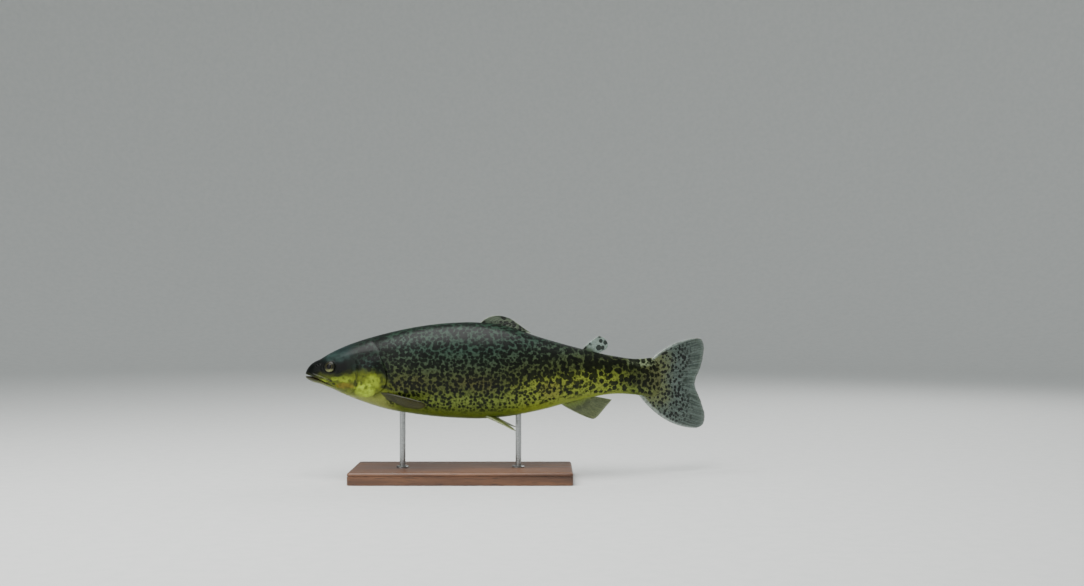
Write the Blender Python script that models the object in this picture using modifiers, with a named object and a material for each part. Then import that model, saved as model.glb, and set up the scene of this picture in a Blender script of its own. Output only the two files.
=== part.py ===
"""Rainbow trout at life size, held still on a plain two-rod display stand.

Metres, +Z up. The nose points along -X and the fish's left side faces -Y.
The origin is the middle of the underside of the stand's base.
"""

import math

import bmesh
import bpy
import numpy as np
from mathutils import Matrix, Vector

MM = 0.001

# driving sizes, in metres
BODY_LENGTH = 0.425  # snout tip to the end of the flesh, along the curved body
BODY_HEIGHT = 0.128  # the fish's middle line above the table
NOSE_PLACE = (-0.188, 0.006)
GAP = 0.0003  # between touching pieces

# the body's bend: it starts straight at BEND_START and swings the tail to the fish's right
BEND_START = 0.42  # share of the body length
NOSE_TURN = math.radians(6.5)
TAIL_TURN = math.radians(28)
FIN_TURN = math.radians(10)  # further turn along the tail fin
TAIL_FIN_SHARE = 0.176  # the tail fin's length as a share of the body's
TAIL_DROOP = 11.2 * MM

# the body at its named stations: share of the length, then millimetres above and below
# the middle line, then half of the width
STATIONS = (
    (0.000, 10.6, 11.4, 9.6),  # snout, before it is rounded off
    (0.034, 14.2, 13.2, 12.4),  # nostrils
    (0.070, 22.9, 18.8, 16.2),  # eye
    (0.120, 32.6, 28.0, 20.6),  # cheek
    (0.165, 39.2, 35.2, 23.4),  # nape
    (0.230, 46.9, 43.6, 26.2),  # rear edge of the gill cover
    (0.320, 55.0, 50.2, 28.6),  # shoulder
    (0.420, 59.6, 54.2, 29.5),  # widest
    (0.490, 60.3, 54.7, 29.2),  # deepest, where the dorsal fin starts
    (0.560, 57.2, 51.8, 27.8),
    (0.660, 45.2, 42.4, 23.4),
    (0.775, 33.9, 27.8, 16.4),  # adipose fin
    (0.880, 26.5, 19.2, 10.4),  # tail stalk
    (0.940, 24.7, 19.4, 7.2),
    (1.000, 27.4, 23.0, 4.2),  # root of the tail fin
)
SNOUT_ROUNDING = 0.034  # share of the length over which the snout closes
ROUND_SIDES = 32
BACK_POWER, BELLY_POWER = 2.15, 2.25  # 2 is an ellipse, more is fuller

# where the body is parted into its lengths, as shares of the body length
HEAD_END, TRUNK_MIDDLE, TRUNK_END = 0.247, 0.50, 0.80
SNOUT_RINGS = (0.0, 0.0015, 0.0055, 0.012, 0.021, 0.034)
RING_STEPS = (10, 7, 8, 7)  # in the head, the two trunk lengths and the tail stalk

# the head's pieces, in millimetres behind the snout tip and above the middle line
EYE_PLACE = (33.4, 7.0)
EYE_RADIUS, EYE_HALF_DEPTH, EYE_SINK = 7.1 * MM, 5.4 * MM, 3.2 * MM
EYE_YAW, EYE_PITCH = math.radians(12), math.radians(8)
MOUTH_LINE = ((-6.0, -3.0), (4.0, -4.2), (17.0, -8.0), (30.0, -13.0), (41.0, -17.2))
MOUTH_OPENING = 2.8  # at the jaw's tip, closing to nothing at its corner
JAW_END = (52.0, -36.0)  # where the jaw's rear cut meets the throat
MAXILLA_LINE = ((6.0, -1.4), (16.0, -4.4), (27.0, -8.6), (38.5, -13.8))
MAXILLA_HALF_WIDTH, MAXILLA_PROUD = 2.6, 1.5
GILL_MIDDLE, GILL_RADII, GILL_LEAN = (81.5, -5.6), (16.6, 21.4), 0.30
GILL_DEPTH, GILL_PROUD = 3.0, 0.7

# fins: each outline runs from the front ray's tip to the rear ray's tip, in millimetres
# behind the snout and away from the back or the belly
FIN_ROOT_THICKNESS, FIN_EDGE_THICKNESS = 3.2 * MM, 0.8 * MM
DORSAL_ROOT = (0.488, 0.625)
DORSAL_TIPS = ((238.0, 10.8), (246.0, 10.0), (254.0, 7.2), (262.0, 4.0), (270.0, 1.8))
ADIPOSE_ROOT = (0.778, 0.820)
ADIPOSE_TIPS = ((353.0, 20.5), (359.5, 19.0), (363.5, 13.5), (362.5, 7.5), (357.0, 3.0))
ANAL_ROOT = (0.715, 0.800)
ANAL_TIPS = ((340.5, 24.6), (346.5, 26.6), (353.0, 23.2), (359.0, 17.0), (364.5, 11.0), (369.0, 6.5))
TAIL_TIPS = (
    (67.0, 55.0),
    (77.0, 52.5),
    (81.0, 41.0),
    (75.0, 20.0),
    (63.5, -2.0),
    (73.5, -24.0),
    (81.0, -41.5),
    (78.5, -53.0),
    (68.0, -57.5),
)
TAIL_ROOT = ((-7.0, 22.0), (3.0, 15.0), (3.5, 0.0), (3.0, -12.0), (-24.0, -15.0))
TAIL_BOWS = (6.5, -12.5)  # of the outermost rays, upper and lower
TAIL_ROOT_THICKNESS = 7.2 * MM

# paired fins: root ends as (along, height) in millimetres, then the rays' turns
PECTORAL_ROOT = ((92.0, -21.5), (98.5, -29.5))
PECTORAL_LENGTH = 66.0
PELVIC_ROOT = ((215.0, -50.0), (226.0, -51.6))
PELVIC_LENGTH = 43.0

# the stand
BASE_SIZE = (0.262, 0.116, 0.015)
BASE_BEVEL = 0.003
ROD_RADIUS = 0.0035
ROD_STATIONS = (("stand_rod_front", 0.275), ("stand_rod_rear", 0.600))
ROD_IN_BODY, ROD_IN_BASE = 0.012, 0.008


def clear_scene():
    for item in list(bpy.data.objects):
        bpy.data.objects.remove(item, do_unlink=True)


def make_collection(name):
    made = bpy.data.collections.new(name)
    bpy.context.scene.collection.children.link(made)
    return made


def make_material(name, colour, roughness, metallic=0.0):
    made = bpy.data.materials.new(name)
    made.use_nodes = True
    shader = made.node_tree.nodes["Principled BSDF"]
    shader.inputs["Base Color"].default_value = (*colour, 1.0)
    shader.inputs["Roughness"].default_value = roughness
    shader.inputs["Metallic"].default_value = metallic
    made.diffuse_color = (*colour, 1.0)
    return made


# the body's surface


def curve_through(points, at):
    """Smooth values at the given places through (place, value, ...) rows."""
    rows = np.array(points, dtype=float)
    places, values = rows[:, 0], rows[:, 1:]
    slopes = np.gradient(values, places, axis=0)
    at = np.clip(np.atleast_1d(np.asarray(at, dtype=float)), places[0], places[-1])
    left = np.clip(np.searchsorted(places, at, side="right") - 1, 0, len(places) - 2)
    width = places[left + 1] - places[left]
    part = ((at - places[left]) / width)[:, None]
    width = width[:, None]
    return (
        (2 * part**3 - 3 * part**2 + 1) * values[left]
        + (part**3 - 2 * part**2 + part) * width * slopes[left]
        + (3 * part**2 - 2 * part**3) * values[left + 1]
        + (part**3 - part**2) * width * slopes[left + 1]
    )


def heading(along):
    """The body line's turn from +X towards +Y at a share of the body length."""
    along = np.asarray(along, dtype=float)
    front = -NOSE_TURN * np.clip(1 - along / BEND_START, 0, 1) ** 1.3
    rear = TAIL_TURN * np.clip((along - BEND_START) / (1 - BEND_START), 0, 1) ** 2
    fin = FIN_TURN * np.clip((along - 1) / TAIL_FIN_SHARE, 0, 1)
    return front + rear + fin


SPINE_STEPS = np.linspace(0, 1.3, 1301)
SPINE_TURNS = heading((SPINE_STEPS[1:] + SPINE_STEPS[:-1]) / 2)
SPINE_X = np.concatenate([[0], np.cumsum(np.cos(SPINE_TURNS))]) * BODY_LENGTH / 1000
SPINE_Y = np.concatenate([[0], np.cumsum(np.sin(SPINE_TURNS))]) * BODY_LENGTH / 1000


def spine(along):
    """The middle line's point at a share of the body length, negative ahead of the snout."""
    ahead = min(along, 0) * BODY_LENGTH
    share = max(along, 0)
    droop = TAIL_DROOP * max(0, (share - BEND_START) / (1 - BEND_START)) ** 1.5
    return Vector(
        (
            NOSE_PLACE[0] + np.interp(share, SPINE_STEPS, SPINE_X) + ahead,
            NOSE_PLACE[1] + np.interp(share, SPINE_STEPS, SPINE_Y),
            BODY_HEIGHT - droop,
        )
    )


def left_of(along):
    """The direction of the fish's left side."""
    turn = float(heading(max(along, 0)))
    return Vector((math.sin(turn), -math.cos(turn), 0))


def half_sizes(along):
    """Above, below and half of the width at a share of the body length, in metres."""
    above, below, side = curve_through(STATIONS, along)[0] * MM
    if along < SNOUT_ROUNDING:
        closing = math.sqrt(max(0.0, 1 - (1 - along / SNOUT_ROUNDING) ** 2))
        above, below, side = above * closing, below * closing, side * closing
    return above, below, side


def powered(value, power):
    return math.copysign(abs(value) ** (2 / power), value)


def side_at(along, height):
    """Half of the body's width at a height above its middle line."""
    above, below, side = half_sizes(along)
    limit, power = (above, BACK_POWER) if height > 0 else (below, BELLY_POWER)
    return side * max(0.0, 1 - min(1.0, abs(height) / limit) ** power) ** (1 / power)


def section(along, grow):
    """One ring of the body's surface, from the back over the left side and the belly."""
    above, below, side = (max(value + grow, 0.2 * MM) for value in half_sizes(along))
    middle, left = spine(along), left_of(along)
    ring = []
    for step in range(ROUND_SIDES):
        angle = 2 * math.pi * step / ROUND_SIDES
        power = BACK_POWER if math.cos(angle) >= 0 else BELLY_POWER
        height = (above if math.cos(angle) >= 0 else below) * powered(math.cos(angle), power)
        ring.append(middle + left * side * powered(math.sin(angle), power) + Vector((0, 0, height)))
    return ring


def along_of(millimetres):
    return millimetres * MM / BODY_LENGTH


def body_point(behind, height, out):
    """A point by millimetres behind the snout, above the middle line and out to the left."""
    along = along_of(behind)
    return spine(along) + left_of(along) * out * MM + Vector((0, 0, height * MM))


# mesh makers


def add_object(name, mesh, home, material=None):
    made = bpy.data.objects.new(name, mesh)
    home.objects.link(made)
    if material:
        mesh.materials.clear()
        mesh.materials.append(material)
        mesh.shade_smooth()
        mesh.set_sharp_from_angle(angle=math.radians(35))
    else:
        made.hide_render = True
        made.display_type = "WIRE"
    return made


def mesh_from(name, shape):
    bmesh.ops.recalc_face_normals(shape, faces=shape.faces)
    made = bpy.data.meshes.new(name)
    shape.to_mesh(made)
    shape.free()
    return made


def loft(name, places, grow=0.0):
    """A closed skin over the body's sections at these shares of its length."""
    shape = bmesh.new()
    rings = [[shape.verts.new(point) for point in section(place, grow)] for place in places]
    for first, second in zip(rings, rings[1:]):
        for step in range(ROUND_SIDES):
            after = (step + 1) % ROUND_SIDES
            shape.faces.new((first[step], first[after], second[after], second[step]))
    shape.faces.new(rings[0])
    shape.faces.new(reversed(rings[-1]))
    return mesh_from(name, shape)


def prism(name, outline, near, far):
    """A flat outline of (x, z) points drawn out along Y."""
    shape = bmesh.new()
    face = shape.faces.new([shape.verts.new((x, near, z)) for x, z in outline])
    pushed = bmesh.ops.extrude_face_region(shape, geom=[face])
    moved = [item for item in pushed["geom"] if isinstance(item, bmesh.types.BMVert)]
    bmesh.ops.translate(shape, verts=moved, vec=(0, far - near, 0))
    return mesh_from(name, shape)


def primitive(name, make, **settings):
    shape = bmesh.new()
    make(shape, **settings)
    return mesh_from(name, shape)


def fin_mesh(name, place, columns, rows, root_thickness):
    """A fin from a grid that place(across, out) shapes, made solid and thinner to its edge."""
    shape = bmesh.new()
    bmesh.ops.create_grid(shape, x_segments=columns, y_segments=rows, size=0.5)
    spreads = [(vert.co.x + 0.5, vert.co.y + 0.5) for vert in shape.verts]
    for vert, (across, out) in zip(shape.verts, spreads):
        vert.co = place(across, out)
    sheet = bpy.data.objects.new(name, mesh_from(name, shape))
    bpy.context.scene.collection.objects.link(sheet)
    weights = sheet.vertex_groups.new(name="thickness")
    for index, (across, out) in enumerate(spreads):
        weights.add([index], (1 - out) ** 1.5, "REPLACE")
    solid = sheet.modifiers.new("Solid", "SOLIDIFY")
    solid.thickness = root_thickness
    solid.offset = 0
    solid.vertex_group = weights.name
    solid.thickness_vertex_group = FIN_EDGE_THICKNESS / root_thickness
    return applied(sheet)


def applied(source):
    """The source's mesh with its modifiers applied; the source itself goes."""
    graph = bpy.context.evaluated_depsgraph_get()
    made = bpy.data.meshes.new_from_object(source.evaluated_get(graph))
    made.name = source.name
    bpy.data.objects.remove(source, do_unlink=True)
    return made


def boolean(target, other, operation):
    cut = target.modifiers.new(other.name, "BOOLEAN")
    cut.operation = operation
    cut.solver = "EXACT"
    cut.object = other


def steps_between(start, end, count):
    return [start + (end - start) * step / count for step in range(count + 1)]


def body_rings():
    """Every ring of the whole body, which each piece and cutter shares so that gaps stay even."""
    ends = (SNOUT_RINGS[-1], HEAD_END, TRUNK_MIDDLE, TRUNK_END, 1.0)
    rings = list(SNOUT_RINGS)
    for start, end, count in zip(ends, ends[1:], RING_STEPS):
        rings += steps_between(start, end, count)[1:]
    return rings


def rings_around(start, end):
    """The shared rings from the last one before start to the first one after end."""
    rings = body_rings()
    first = max([ring for ring in rings if ring <= start + 1e-6], default=rings[0])
    last = min([ring for ring in rings if ring >= end - 1e-6], default=rings[-1])
    return [ring for ring in rings if first <= ring <= last]


# sub-parts


def widened(line, half_widths):
    """The outline of a band along a line of (x, z) points, with its own half width at each."""
    points = [Vector(point) for point in line]
    above, below = [], []
    for index, point in enumerate(points):
        before, after = points[max(index - 1, 0)], points[min(index + 1, len(points) - 1)]
        run = (after - before).normalized()
        across = Vector((-run.y, run.x)) * half_widths[index]
        above.append(point + across)
        below.append(point - across)
    return [tuple(point) for point in above + below[::-1]]


def flat(points):
    """Outline points in millimetres behind the snout and above the middle line, as (x, z)."""
    return [(body_point(behind, height, 0).x, BODY_HEIGHT + height * MM) for behind, height in points]


def mouth_outlines():
    """The outline cut from the head, and that of the jaw itself, below the open mouth."""
    corner = MOUTH_LINE[-1]
    run = corner[0] - MOUTH_LINE[0][0]
    opening = [MOUTH_OPENING * (corner[0] - x) / run / 2 for x, _ in MOUTH_LINE]
    gap = GAP / MM / 2
    upper = [(x, z + more + gap) for (x, z), more in zip(MOUTH_LINE, opening)]
    lower = [(x, z - more - gap) for (x, z), more in zip(MOUTH_LINE, opening)]
    front = (MOUTH_LINE[0][0], JAW_END[1] - 12)
    end = (JAW_END[0] + 4, JAW_END[1] - 12)
    shift = 2 * gap
    cut = upper + [(corner[0] + shift, corner[1]), (JAW_END[0] + shift, JAW_END[1]), end, front]
    jaw = lower + [JAW_END, (end[0] - shift, end[1]), (front[0], front[1])]
    return flat(cut), flat(jaw)


def gill_outline(grow):
    """The gill cover's outline, an egg that leans back at the top."""
    points = []
    for step in range(28):
        angle = 2 * math.pi * step / 28
        height = (GILL_RADII[1] + grow) * powered(math.sin(angle), 2.3)
        behind = (GILL_RADII[0] + grow) * powered(math.cos(angle), 2.3) + GILL_LEAN * height
        points.append((GILL_MIDDLE[0] + behind, GILL_MIDDLE[1] + height))
    return flat(points)


def eye_place(side):
    behind, height = EYE_PLACE
    along = along_of(behind)
    out = side_at(along, height * MM) / MM
    return body_point(behind, height, side * out) - left_of(along) * side * EYE_SINK


def eye_mesh(name, side, grow):
    """A flattened ball that faces out, a little forwards and a little up."""
    mesh = primitive(
        name, bmesh.ops.create_uvsphere, u_segments=20, v_segments=10, radius=EYE_RADIUS + grow
    )
    flatten = Matrix.Diagonal((1, 1, (EYE_HALF_DEPTH + grow) / (EYE_RADIUS + grow), 1))
    turn = -float(heading(along_of(EYE_PLACE[0])))
    face_out = Matrix.Rotation(side * math.pi / 2, 4, "X")
    yaw = Matrix.Rotation(-side * (EYE_YAW + side * turn), 4, "Z")
    pitch = Matrix.Rotation(side * -EYE_PITCH, 4, "X")
    mesh.transform(yaw @ pitch @ face_out @ flatten)
    return mesh


def make_head(home, tools, looks):
    head = add_object("head", loft("head", rings_around(0, HEAD_END)), home, looks["skin_head"])
    jaw = add_object("lower_jaw", loft("lower_jaw", rings_around(0, 0.14)), home, looks["skin_jaw"])
    for target, name, outline, operation in zip(
        (head, jaw), ("mouth_cutter", "jaw_keeper"), mouth_outlines(), ("DIFFERENCE", "INTERSECT")
    ):
        boolean(target, add_object(name, prism(name, outline, -0.06, 0.06), tools), operation)

    around = rings_around(0, 0.12)
    proud = add_object("maxilla_keeper", loft("maxilla_keeper", around, MAXILLA_PROUD * MM), tools)
    clear = add_object("maxilla_clearance", loft("maxilla_clearance", around, GAP), tools)
    gill_places = rings_around(0.12, 0.240)
    shell = add_object("gill_keeper", loft("gill_keeper", gill_places, GILL_PROUD * MM), tools)
    core = add_object("gill_core", loft("gill_core", gill_places, -GILL_DEPTH * MM), tools)
    floor = loft("pocket_core", gill_places, -GILL_DEPTH * MM - GAP)
    pocket_core = add_object("pocket_core", floor, tools)

    widths = [MAXILLA_HALF_WIDTH * share for share in (0.45, 0.7, 0.9, 1.1)]
    middle = NOSE_PLACE[1]
    for name, side in (("left", 1), ("right", -1)):
        far = middle - side * 0.06
        near = middle - side * 0.002
        eye = add_object(f"eye_{name}", eye_mesh(f"eye_{name}", side, 0), home, looks["eye"])
        eye.location = eye_place(side)
        socket = add_object(f"socket_{name}", eye_mesh(f"socket_{name}", side, GAP), tools)
        socket.location = eye_place(side)
        boolean(head, socket, "DIFFERENCE")

        band = prism(f"maxilla_{name}", flat(widened(MAXILLA_LINE, widths)), near, far)
        maxilla = add_object(f"maxilla_{name}", band, home, looks["skin_jaw"])
        boolean(maxilla, proud, "INTERSECT")
        boolean(maxilla, clear, "DIFFERENCE")

        lid = prism(f"gill_cover_{name}", gill_outline(0), near, far)
        cover = add_object(f"gill_cover_{name}", lid, home, looks["skin_gill"])
        boolean(cover, shell, "INTERSECT")
        boolean(cover, core, "DIFFERENCE")
        hollow = prism(f"pocket_{name}", gill_outline(GAP / MM), near, far)
        pocket = add_object(f"pocket_{name}", hollow, tools)
        boolean(pocket, pocket_core, "DIFFERENCE")
        boolean(head, pocket, "DIFFERENCE")


def make_trunk(home, tools, looks):
    lengths = (
        ("trunk_front", HEAD_END, TRUNK_MIDDLE),
        ("trunk_rear", TRUNK_MIDDLE, TRUNK_END),
        ("tail_stalk", TRUNK_END, 1.0),
    )
    made = {}
    for name, start, end in lengths:
        places = [start + GAP / BODY_LENGTH] + rings_around(start, end)[1:]
        made[name] = add_object(name, loft(name, places), home, looks["skin_flank"])
    for (name, along), length in zip(ROD_STATIONS, ("trunk_front", "trunk_rear")):
        ends = (belly_height(along) - 0.02, belly_height(along) + ROD_IN_BODY + GAP)
        drill = add_object(f"{name}_hole", round_bar(f"{name}_hole", ROD_RADIUS + GAP, *ends), tools)
        drill.location = (spine(along).x, spine(along).y, sum(ends) / 2)
        boolean(made[length], drill, "DIFFERENCE")


def belly_height(along):
    return spine(along).z - half_sizes(along)[1]


def bowed(root, tip, out, bow):
    """A ray from root to tip in 2D, bowed to its left by some millimetres."""
    run = tip - root
    across = Vector((-run.y, run.x)).normalized()
    return root + run * out + across * bow * 4 * out * (1 - out)


def make_median_fins(home, tools, looks):
    """The fins on the back and under the belly, which stand in the fish's middle plane."""
    fins = (
        ("dorsal_fin", DORSAL_ROOT, DORSAL_TIPS, 1, 4.2, 14, 5),
        ("adipose_fin", ADIPOSE_ROOT, ADIPOSE_TIPS, 1, 1.6, 8, 6),
        ("anal_fin", ANAL_ROOT, ANAL_TIPS, -1, 1.5, 10, 6),
    )
    for name, root_ends, tips, sign, bow, columns, rows in fins:
        clear = loft(f"{name}_clearance", rings_around(root_ends[0] - 0.03, root_ends[1] + 0.03), GAP)
        body = add_object(f"{name}_clearance", clear, tools)
        rows_of_tips = spread_evenly(tips)

        def place(across, out):
            along = root_ends[0] + (root_ends[1] - root_ends[0]) * across
            root = Vector((along * BODY_LENGTH / MM, -1.8))
            tip = Vector(curve_through(rows_of_tips, across)[0])
            behind, away = bowed(root, tip, out, bow * (1 - across))
            edge = half_sizes(along_of(behind))[0 if sign > 0 else 1] / MM
            return body_point(behind, sign * (edge + away), 0)

        mesh = fin_mesh(name, place, columns, rows, FIN_ROOT_THICKNESS)
        boolean(add_object(name, mesh, home, looks["fin"]), body, "DIFFERENCE")


def spread_evenly(points):
    """The points with the shares 0 to 1 set before them, for curve_through."""
    return [(share, *point) for share, point in zip(steps_between(0, 1, len(points) - 1), points)]


def make_tail_fin(home, tools, looks):
    """The tail fin, whose outermost rays also run forwards along the tail stalk's edges."""
    roots, tips = spread_evenly(TAIL_ROOT), spread_evenly(TAIL_TIPS)
    clear = loft("tail_fin_clearance", rings_around(0.9, 1.0), GAP)
    end = add_object("tail_fin_clearance", clear, tools)

    def place(across, out):
        root = Vector(curve_through(roots, across)[0])
        tip = Vector(curve_through(tips, across)[0])
        bow = TAIL_BOWS[0 if across < 0.5 else 1] * abs(1 - 2 * across) ** 1.3
        behind, height = bowed(root, tip, out, bow)
        return body_point(BODY_LENGTH / MM + behind, height, 0)

    mesh = fin_mesh("tail_fin", place, 20, 8, TAIL_ROOT_THICKNESS)
    boolean(add_object("tail_fin", mesh, home, looks["fin"]), end, "DIFFERENCE")


def make_paired_fins(home, tools, looks):
    """The pectoral and pelvic fins, swept back along the lower flanks and the belly."""
    sets = (
        ("pectoral_fin", PECTORAL_ROOT, PECTORAL_LENGTH, (22, -8), (12, -19), (0.16, 0.32)),
        ("pelvic_fin", PELVIC_ROOT, PELVIC_LENGTH, (26, -20), (4, -24), (0.46, 0.66)),
    )
    for kind, (front, rear), length, front_turns, rear_turns, stretch in sets:
        clear = loft(f"{kind}_clearance", rings_around(*stretch), GAP)
        body = add_object(f"{kind}_clearance", clear, tools)
        for name, side in (("left", 1), ("right", -1)):

            def place(across, out):
                behind = front[0] + (rear[0] - front[0]) * across
                height = front[1] + (rear[1] - front[1]) * across
                flank = side_at(along_of(behind), height * MM) / MM
                root = body_point(behind, height, side * (flank - 1.2))
                turns = [a + (b - a) * across for a, b in zip(front_turns, rear_turns)]
                outward, down = (math.radians(turn) for turn in turns)
                back = Vector((-left_of(along_of(behind)).y, left_of(along_of(behind)).x, 0))
                ray = back * math.cos(outward) + left_of(along_of(behind)) * side * math.sin(outward)
                ray = ray * math.cos(down) + Vector((0, 0, math.sin(down)))
                reach = length * (1 - 0.62 * across**1.6) * (1 - 0.12 * (1 - across) ** 6)
                curl = Vector((0, 0, -2.4 * MM * out * out))
                return root + ray * reach * MM * out + curl

            mesh = fin_mesh(f"{kind}_{name}", place, 8, 8, FIN_ROOT_THICKNESS * 0.8)
            boolean(add_object(f"{kind}_{name}", mesh, home, looks["fin"]), body, "DIFFERENCE")


def round_bar(name, radius, bottom, top):
    """An upright cylinder's mesh, its middle at the origin."""
    sides = dict(cap_ends=True, segments=16, radius1=radius, radius2=radius)
    return primitive(name, bmesh.ops.create_cone, depth=top - bottom, **sides)


def make_stand(home, tools, looks):
    length, width, height = BASE_SIZE
    block = primitive("stand_base", bmesh.ops.create_cube, size=1)
    block.transform(Matrix.Diagonal((length, width, height, 1)))
    base = add_object("stand_base", block, home, looks["stand_wood"])
    base.location = (0, 0, height / 2)
    rounding = base.modifiers.new("Edges", "BEVEL")
    rounding.width = BASE_BEVEL
    rounding.segments = 2
    for name, along in ROD_STATIONS:
        middle = spine(along)
        bottom = height - ROD_IN_BASE
        top = belly_height(along) + ROD_IN_BODY
        rod = add_object(name, round_bar(name, ROD_RADIUS, bottom, top), home, looks["stand_steel"])
        rod.location = (middle.x, middle.y, (top + bottom) / 2)
        seat_ends = (bottom - GAP, height + 0.01)
        seat_mesh = round_bar(f"{name}_seat", ROD_RADIUS + GAP, *seat_ends)
        seat = add_object(f"{name}_seat", seat_mesh, tools)
        seat.location = (middle.x, middle.y, sum(seat_ends) / 2)
        boolean(base, seat, "DIFFERENCE")


def main():
    clear_scene()
    home = make_collection("rainbow_trout")
    tools = make_collection("cutters")
    looks = {
        "skin_flank": make_material("spotted_skin", (0.085, 0.095, 0.045), 0.35),
        "skin_head": make_material("dark_head_skin", (0.045, 0.050, 0.030), 0.32),
        "skin_jaw": make_material("jaw_skin", (0.110, 0.105, 0.055), 0.35),
        "skin_gill": make_material("yellow_gill_skin", (0.330, 0.300, 0.080), 0.30),
        "eye": make_material("dark_eye", (0.010, 0.010, 0.012), 0.08),
        "fin": make_material("fin_web", (0.130, 0.125, 0.120), 0.40),
        "stand_wood": make_material("oiled_walnut", (0.090, 0.045, 0.022), 0.45),
        "stand_steel": make_material("brushed_steel", (0.560, 0.560, 0.550), 0.30, 1.0),
    }
    make_head(home, tools, looks)
    make_trunk(home, tools, looks)
    make_median_fins(home, tools, looks)
    make_tail_fin(home, tools, looks)
    make_paired_fins(home, tools, looks)
    make_stand(home, tools, looks)
    root = bpy.data.objects.new("rainbow_trout_root", None)
    home.objects.link(root)
    for item in list(home.objects) + list(tools.objects):
        if item is not root:
            item.parent = root


main()
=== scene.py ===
import math
from functools import partial

import bmesh
import bpy
import numpy as np
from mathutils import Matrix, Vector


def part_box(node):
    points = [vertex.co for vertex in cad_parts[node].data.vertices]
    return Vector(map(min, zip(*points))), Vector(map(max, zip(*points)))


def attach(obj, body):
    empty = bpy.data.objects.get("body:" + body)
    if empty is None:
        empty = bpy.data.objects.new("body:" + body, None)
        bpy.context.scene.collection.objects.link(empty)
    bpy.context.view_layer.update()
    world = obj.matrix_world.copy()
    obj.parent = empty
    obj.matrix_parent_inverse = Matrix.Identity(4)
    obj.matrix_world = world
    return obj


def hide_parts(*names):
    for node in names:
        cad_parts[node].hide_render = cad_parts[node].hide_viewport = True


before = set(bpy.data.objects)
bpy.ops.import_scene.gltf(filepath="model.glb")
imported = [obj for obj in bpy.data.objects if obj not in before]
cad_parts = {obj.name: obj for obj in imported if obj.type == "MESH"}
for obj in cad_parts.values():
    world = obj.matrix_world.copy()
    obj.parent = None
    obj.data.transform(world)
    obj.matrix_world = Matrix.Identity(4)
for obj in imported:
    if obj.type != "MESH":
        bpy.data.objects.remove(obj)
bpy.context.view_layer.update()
mm = 0.001


def toLinear(hexColour):
    parts = [int(hexColour[i:i + 2], 16) / 255 for i in (1, 3, 5)]
    return (*[c / 12.92 if c <= 0.04045 else ((c + 0.055) / 1.055) ** 2.4 for c in parts], 1.0)


def addNode(tree, kind, inputs=(), output=None, **settings):
    # inputs, by place or by name, are linked or set; gives the node's first output or a named one
    node = tree.nodes.new("ShaderNode" + kind)
    for name, value in settings.items():
        if name == "stops":  # a colour ramp's stops, as (place, hex colour)
            while len(node.color_ramp.elements) < len(value):
                node.color_ramp.elements.new(0.5)
            for element, (place, colour) in zip(node.color_ramp.elements, value):
                element.position = place
                element.color = toLinear(colour)
        else:
            setattr(node, name, value)
    shown = [socket for socket in node.inputs if socket.enabled]
    for name, value in inputs.items() if isinstance(inputs, dict) else enumerate(inputs):
        socket = node.inputs[name] if isinstance(name, str) else shown[name]
        if isinstance(value, bpy.types.NodeSocket):
            tree.links.new(value, socket)
        else:
            socket.default_value = toLinear(value) if isinstance(value, str) else value
    given = [socket for socket in node.outputs if socket.enabled and output in (None, socket.name)]
    return given[0] if given else None


def newMaterial(name):
    # an empty material, and what adds a node to it
    made = bpy.data.materials.new(name)
    made.use_nodes = True
    made.node_tree.nodes.clear()
    return made, partial(addNode, made.node_tree)


def finishMaterial(made, add, colour, roughness, grain, bump, gloss=None):
    # bump is the strength of the grain's relief and its depth in mm
    relief = add("Bump", {"Height": grain, "Strength": bump[0], "Distance": bump[1] * mm})
    gloss = gloss or {}
    shader = add("BsdfPrincipled", {"Base Color": colour, "Roughness": roughness, "Normal": relief, **gloss})
    add("OutputMaterial", {"Surface": shader})
    return made


def combine(add, operation, *parts):
    # parts are outputs, numbers, or soft steps as (value, from, to), with start and end where not 0 to 1
    total = None
    for part in parts:
        if isinstance(part, tuple):
            part = add("MapRange", part, interpolation_type="SMOOTHSTEP")
        total = part if total is None else add("Math", (total, part), operation=operation)
    return total


def overlay(add, ground, colour, *parts):
    # one colour over another, as far as the product of the parts lets it
    return add("Mix", (combine(add, "MULTIPLY", *parts), ground, colour), data_type="RGBA")


def smoothStep(low, high, value):
    part = np.clip((value - low) / (high - low), 0, 1)
    return part * part * (3 - 2 * part)


def hump(distance, width):
    return np.exp(-((distance / width) ** 2))


def curveThrough(points, at):
    # a smooth curve through rows of (place, values), read at any places
    rows = np.array(points, dtype=float)
    places, values = rows[:, 0], rows[:, 1:]
    slopes = np.gradient(values, places, axis=0)
    at = np.clip(np.asarray(at, dtype=float), places[0], places[-1])
    flatAt = at.ravel()
    left = np.clip(np.searchsorted(places, flatAt, side="right") - 1, 0, len(places) - 2)
    width = (places[left + 1] - places[left])[:, None]
    part = (flatAt - places[left])[:, None] / width
    curve = ((2 * part**3 - 3 * part**2 + 1) * values[left]
             + (part**3 - 2 * part**2 + part) * width * slopes[left]
             + (3 * part**2 - 2 * part**3) * values[left + 1]
             + (part**3 - part**2) * width * slopes[left + 1])
    return curve.reshape(*at.shape, values.shape[1])


def spreadEvenly(points):
    return [(i / (len(points) - 1), *point) for i, point in enumerate(points)]


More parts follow.
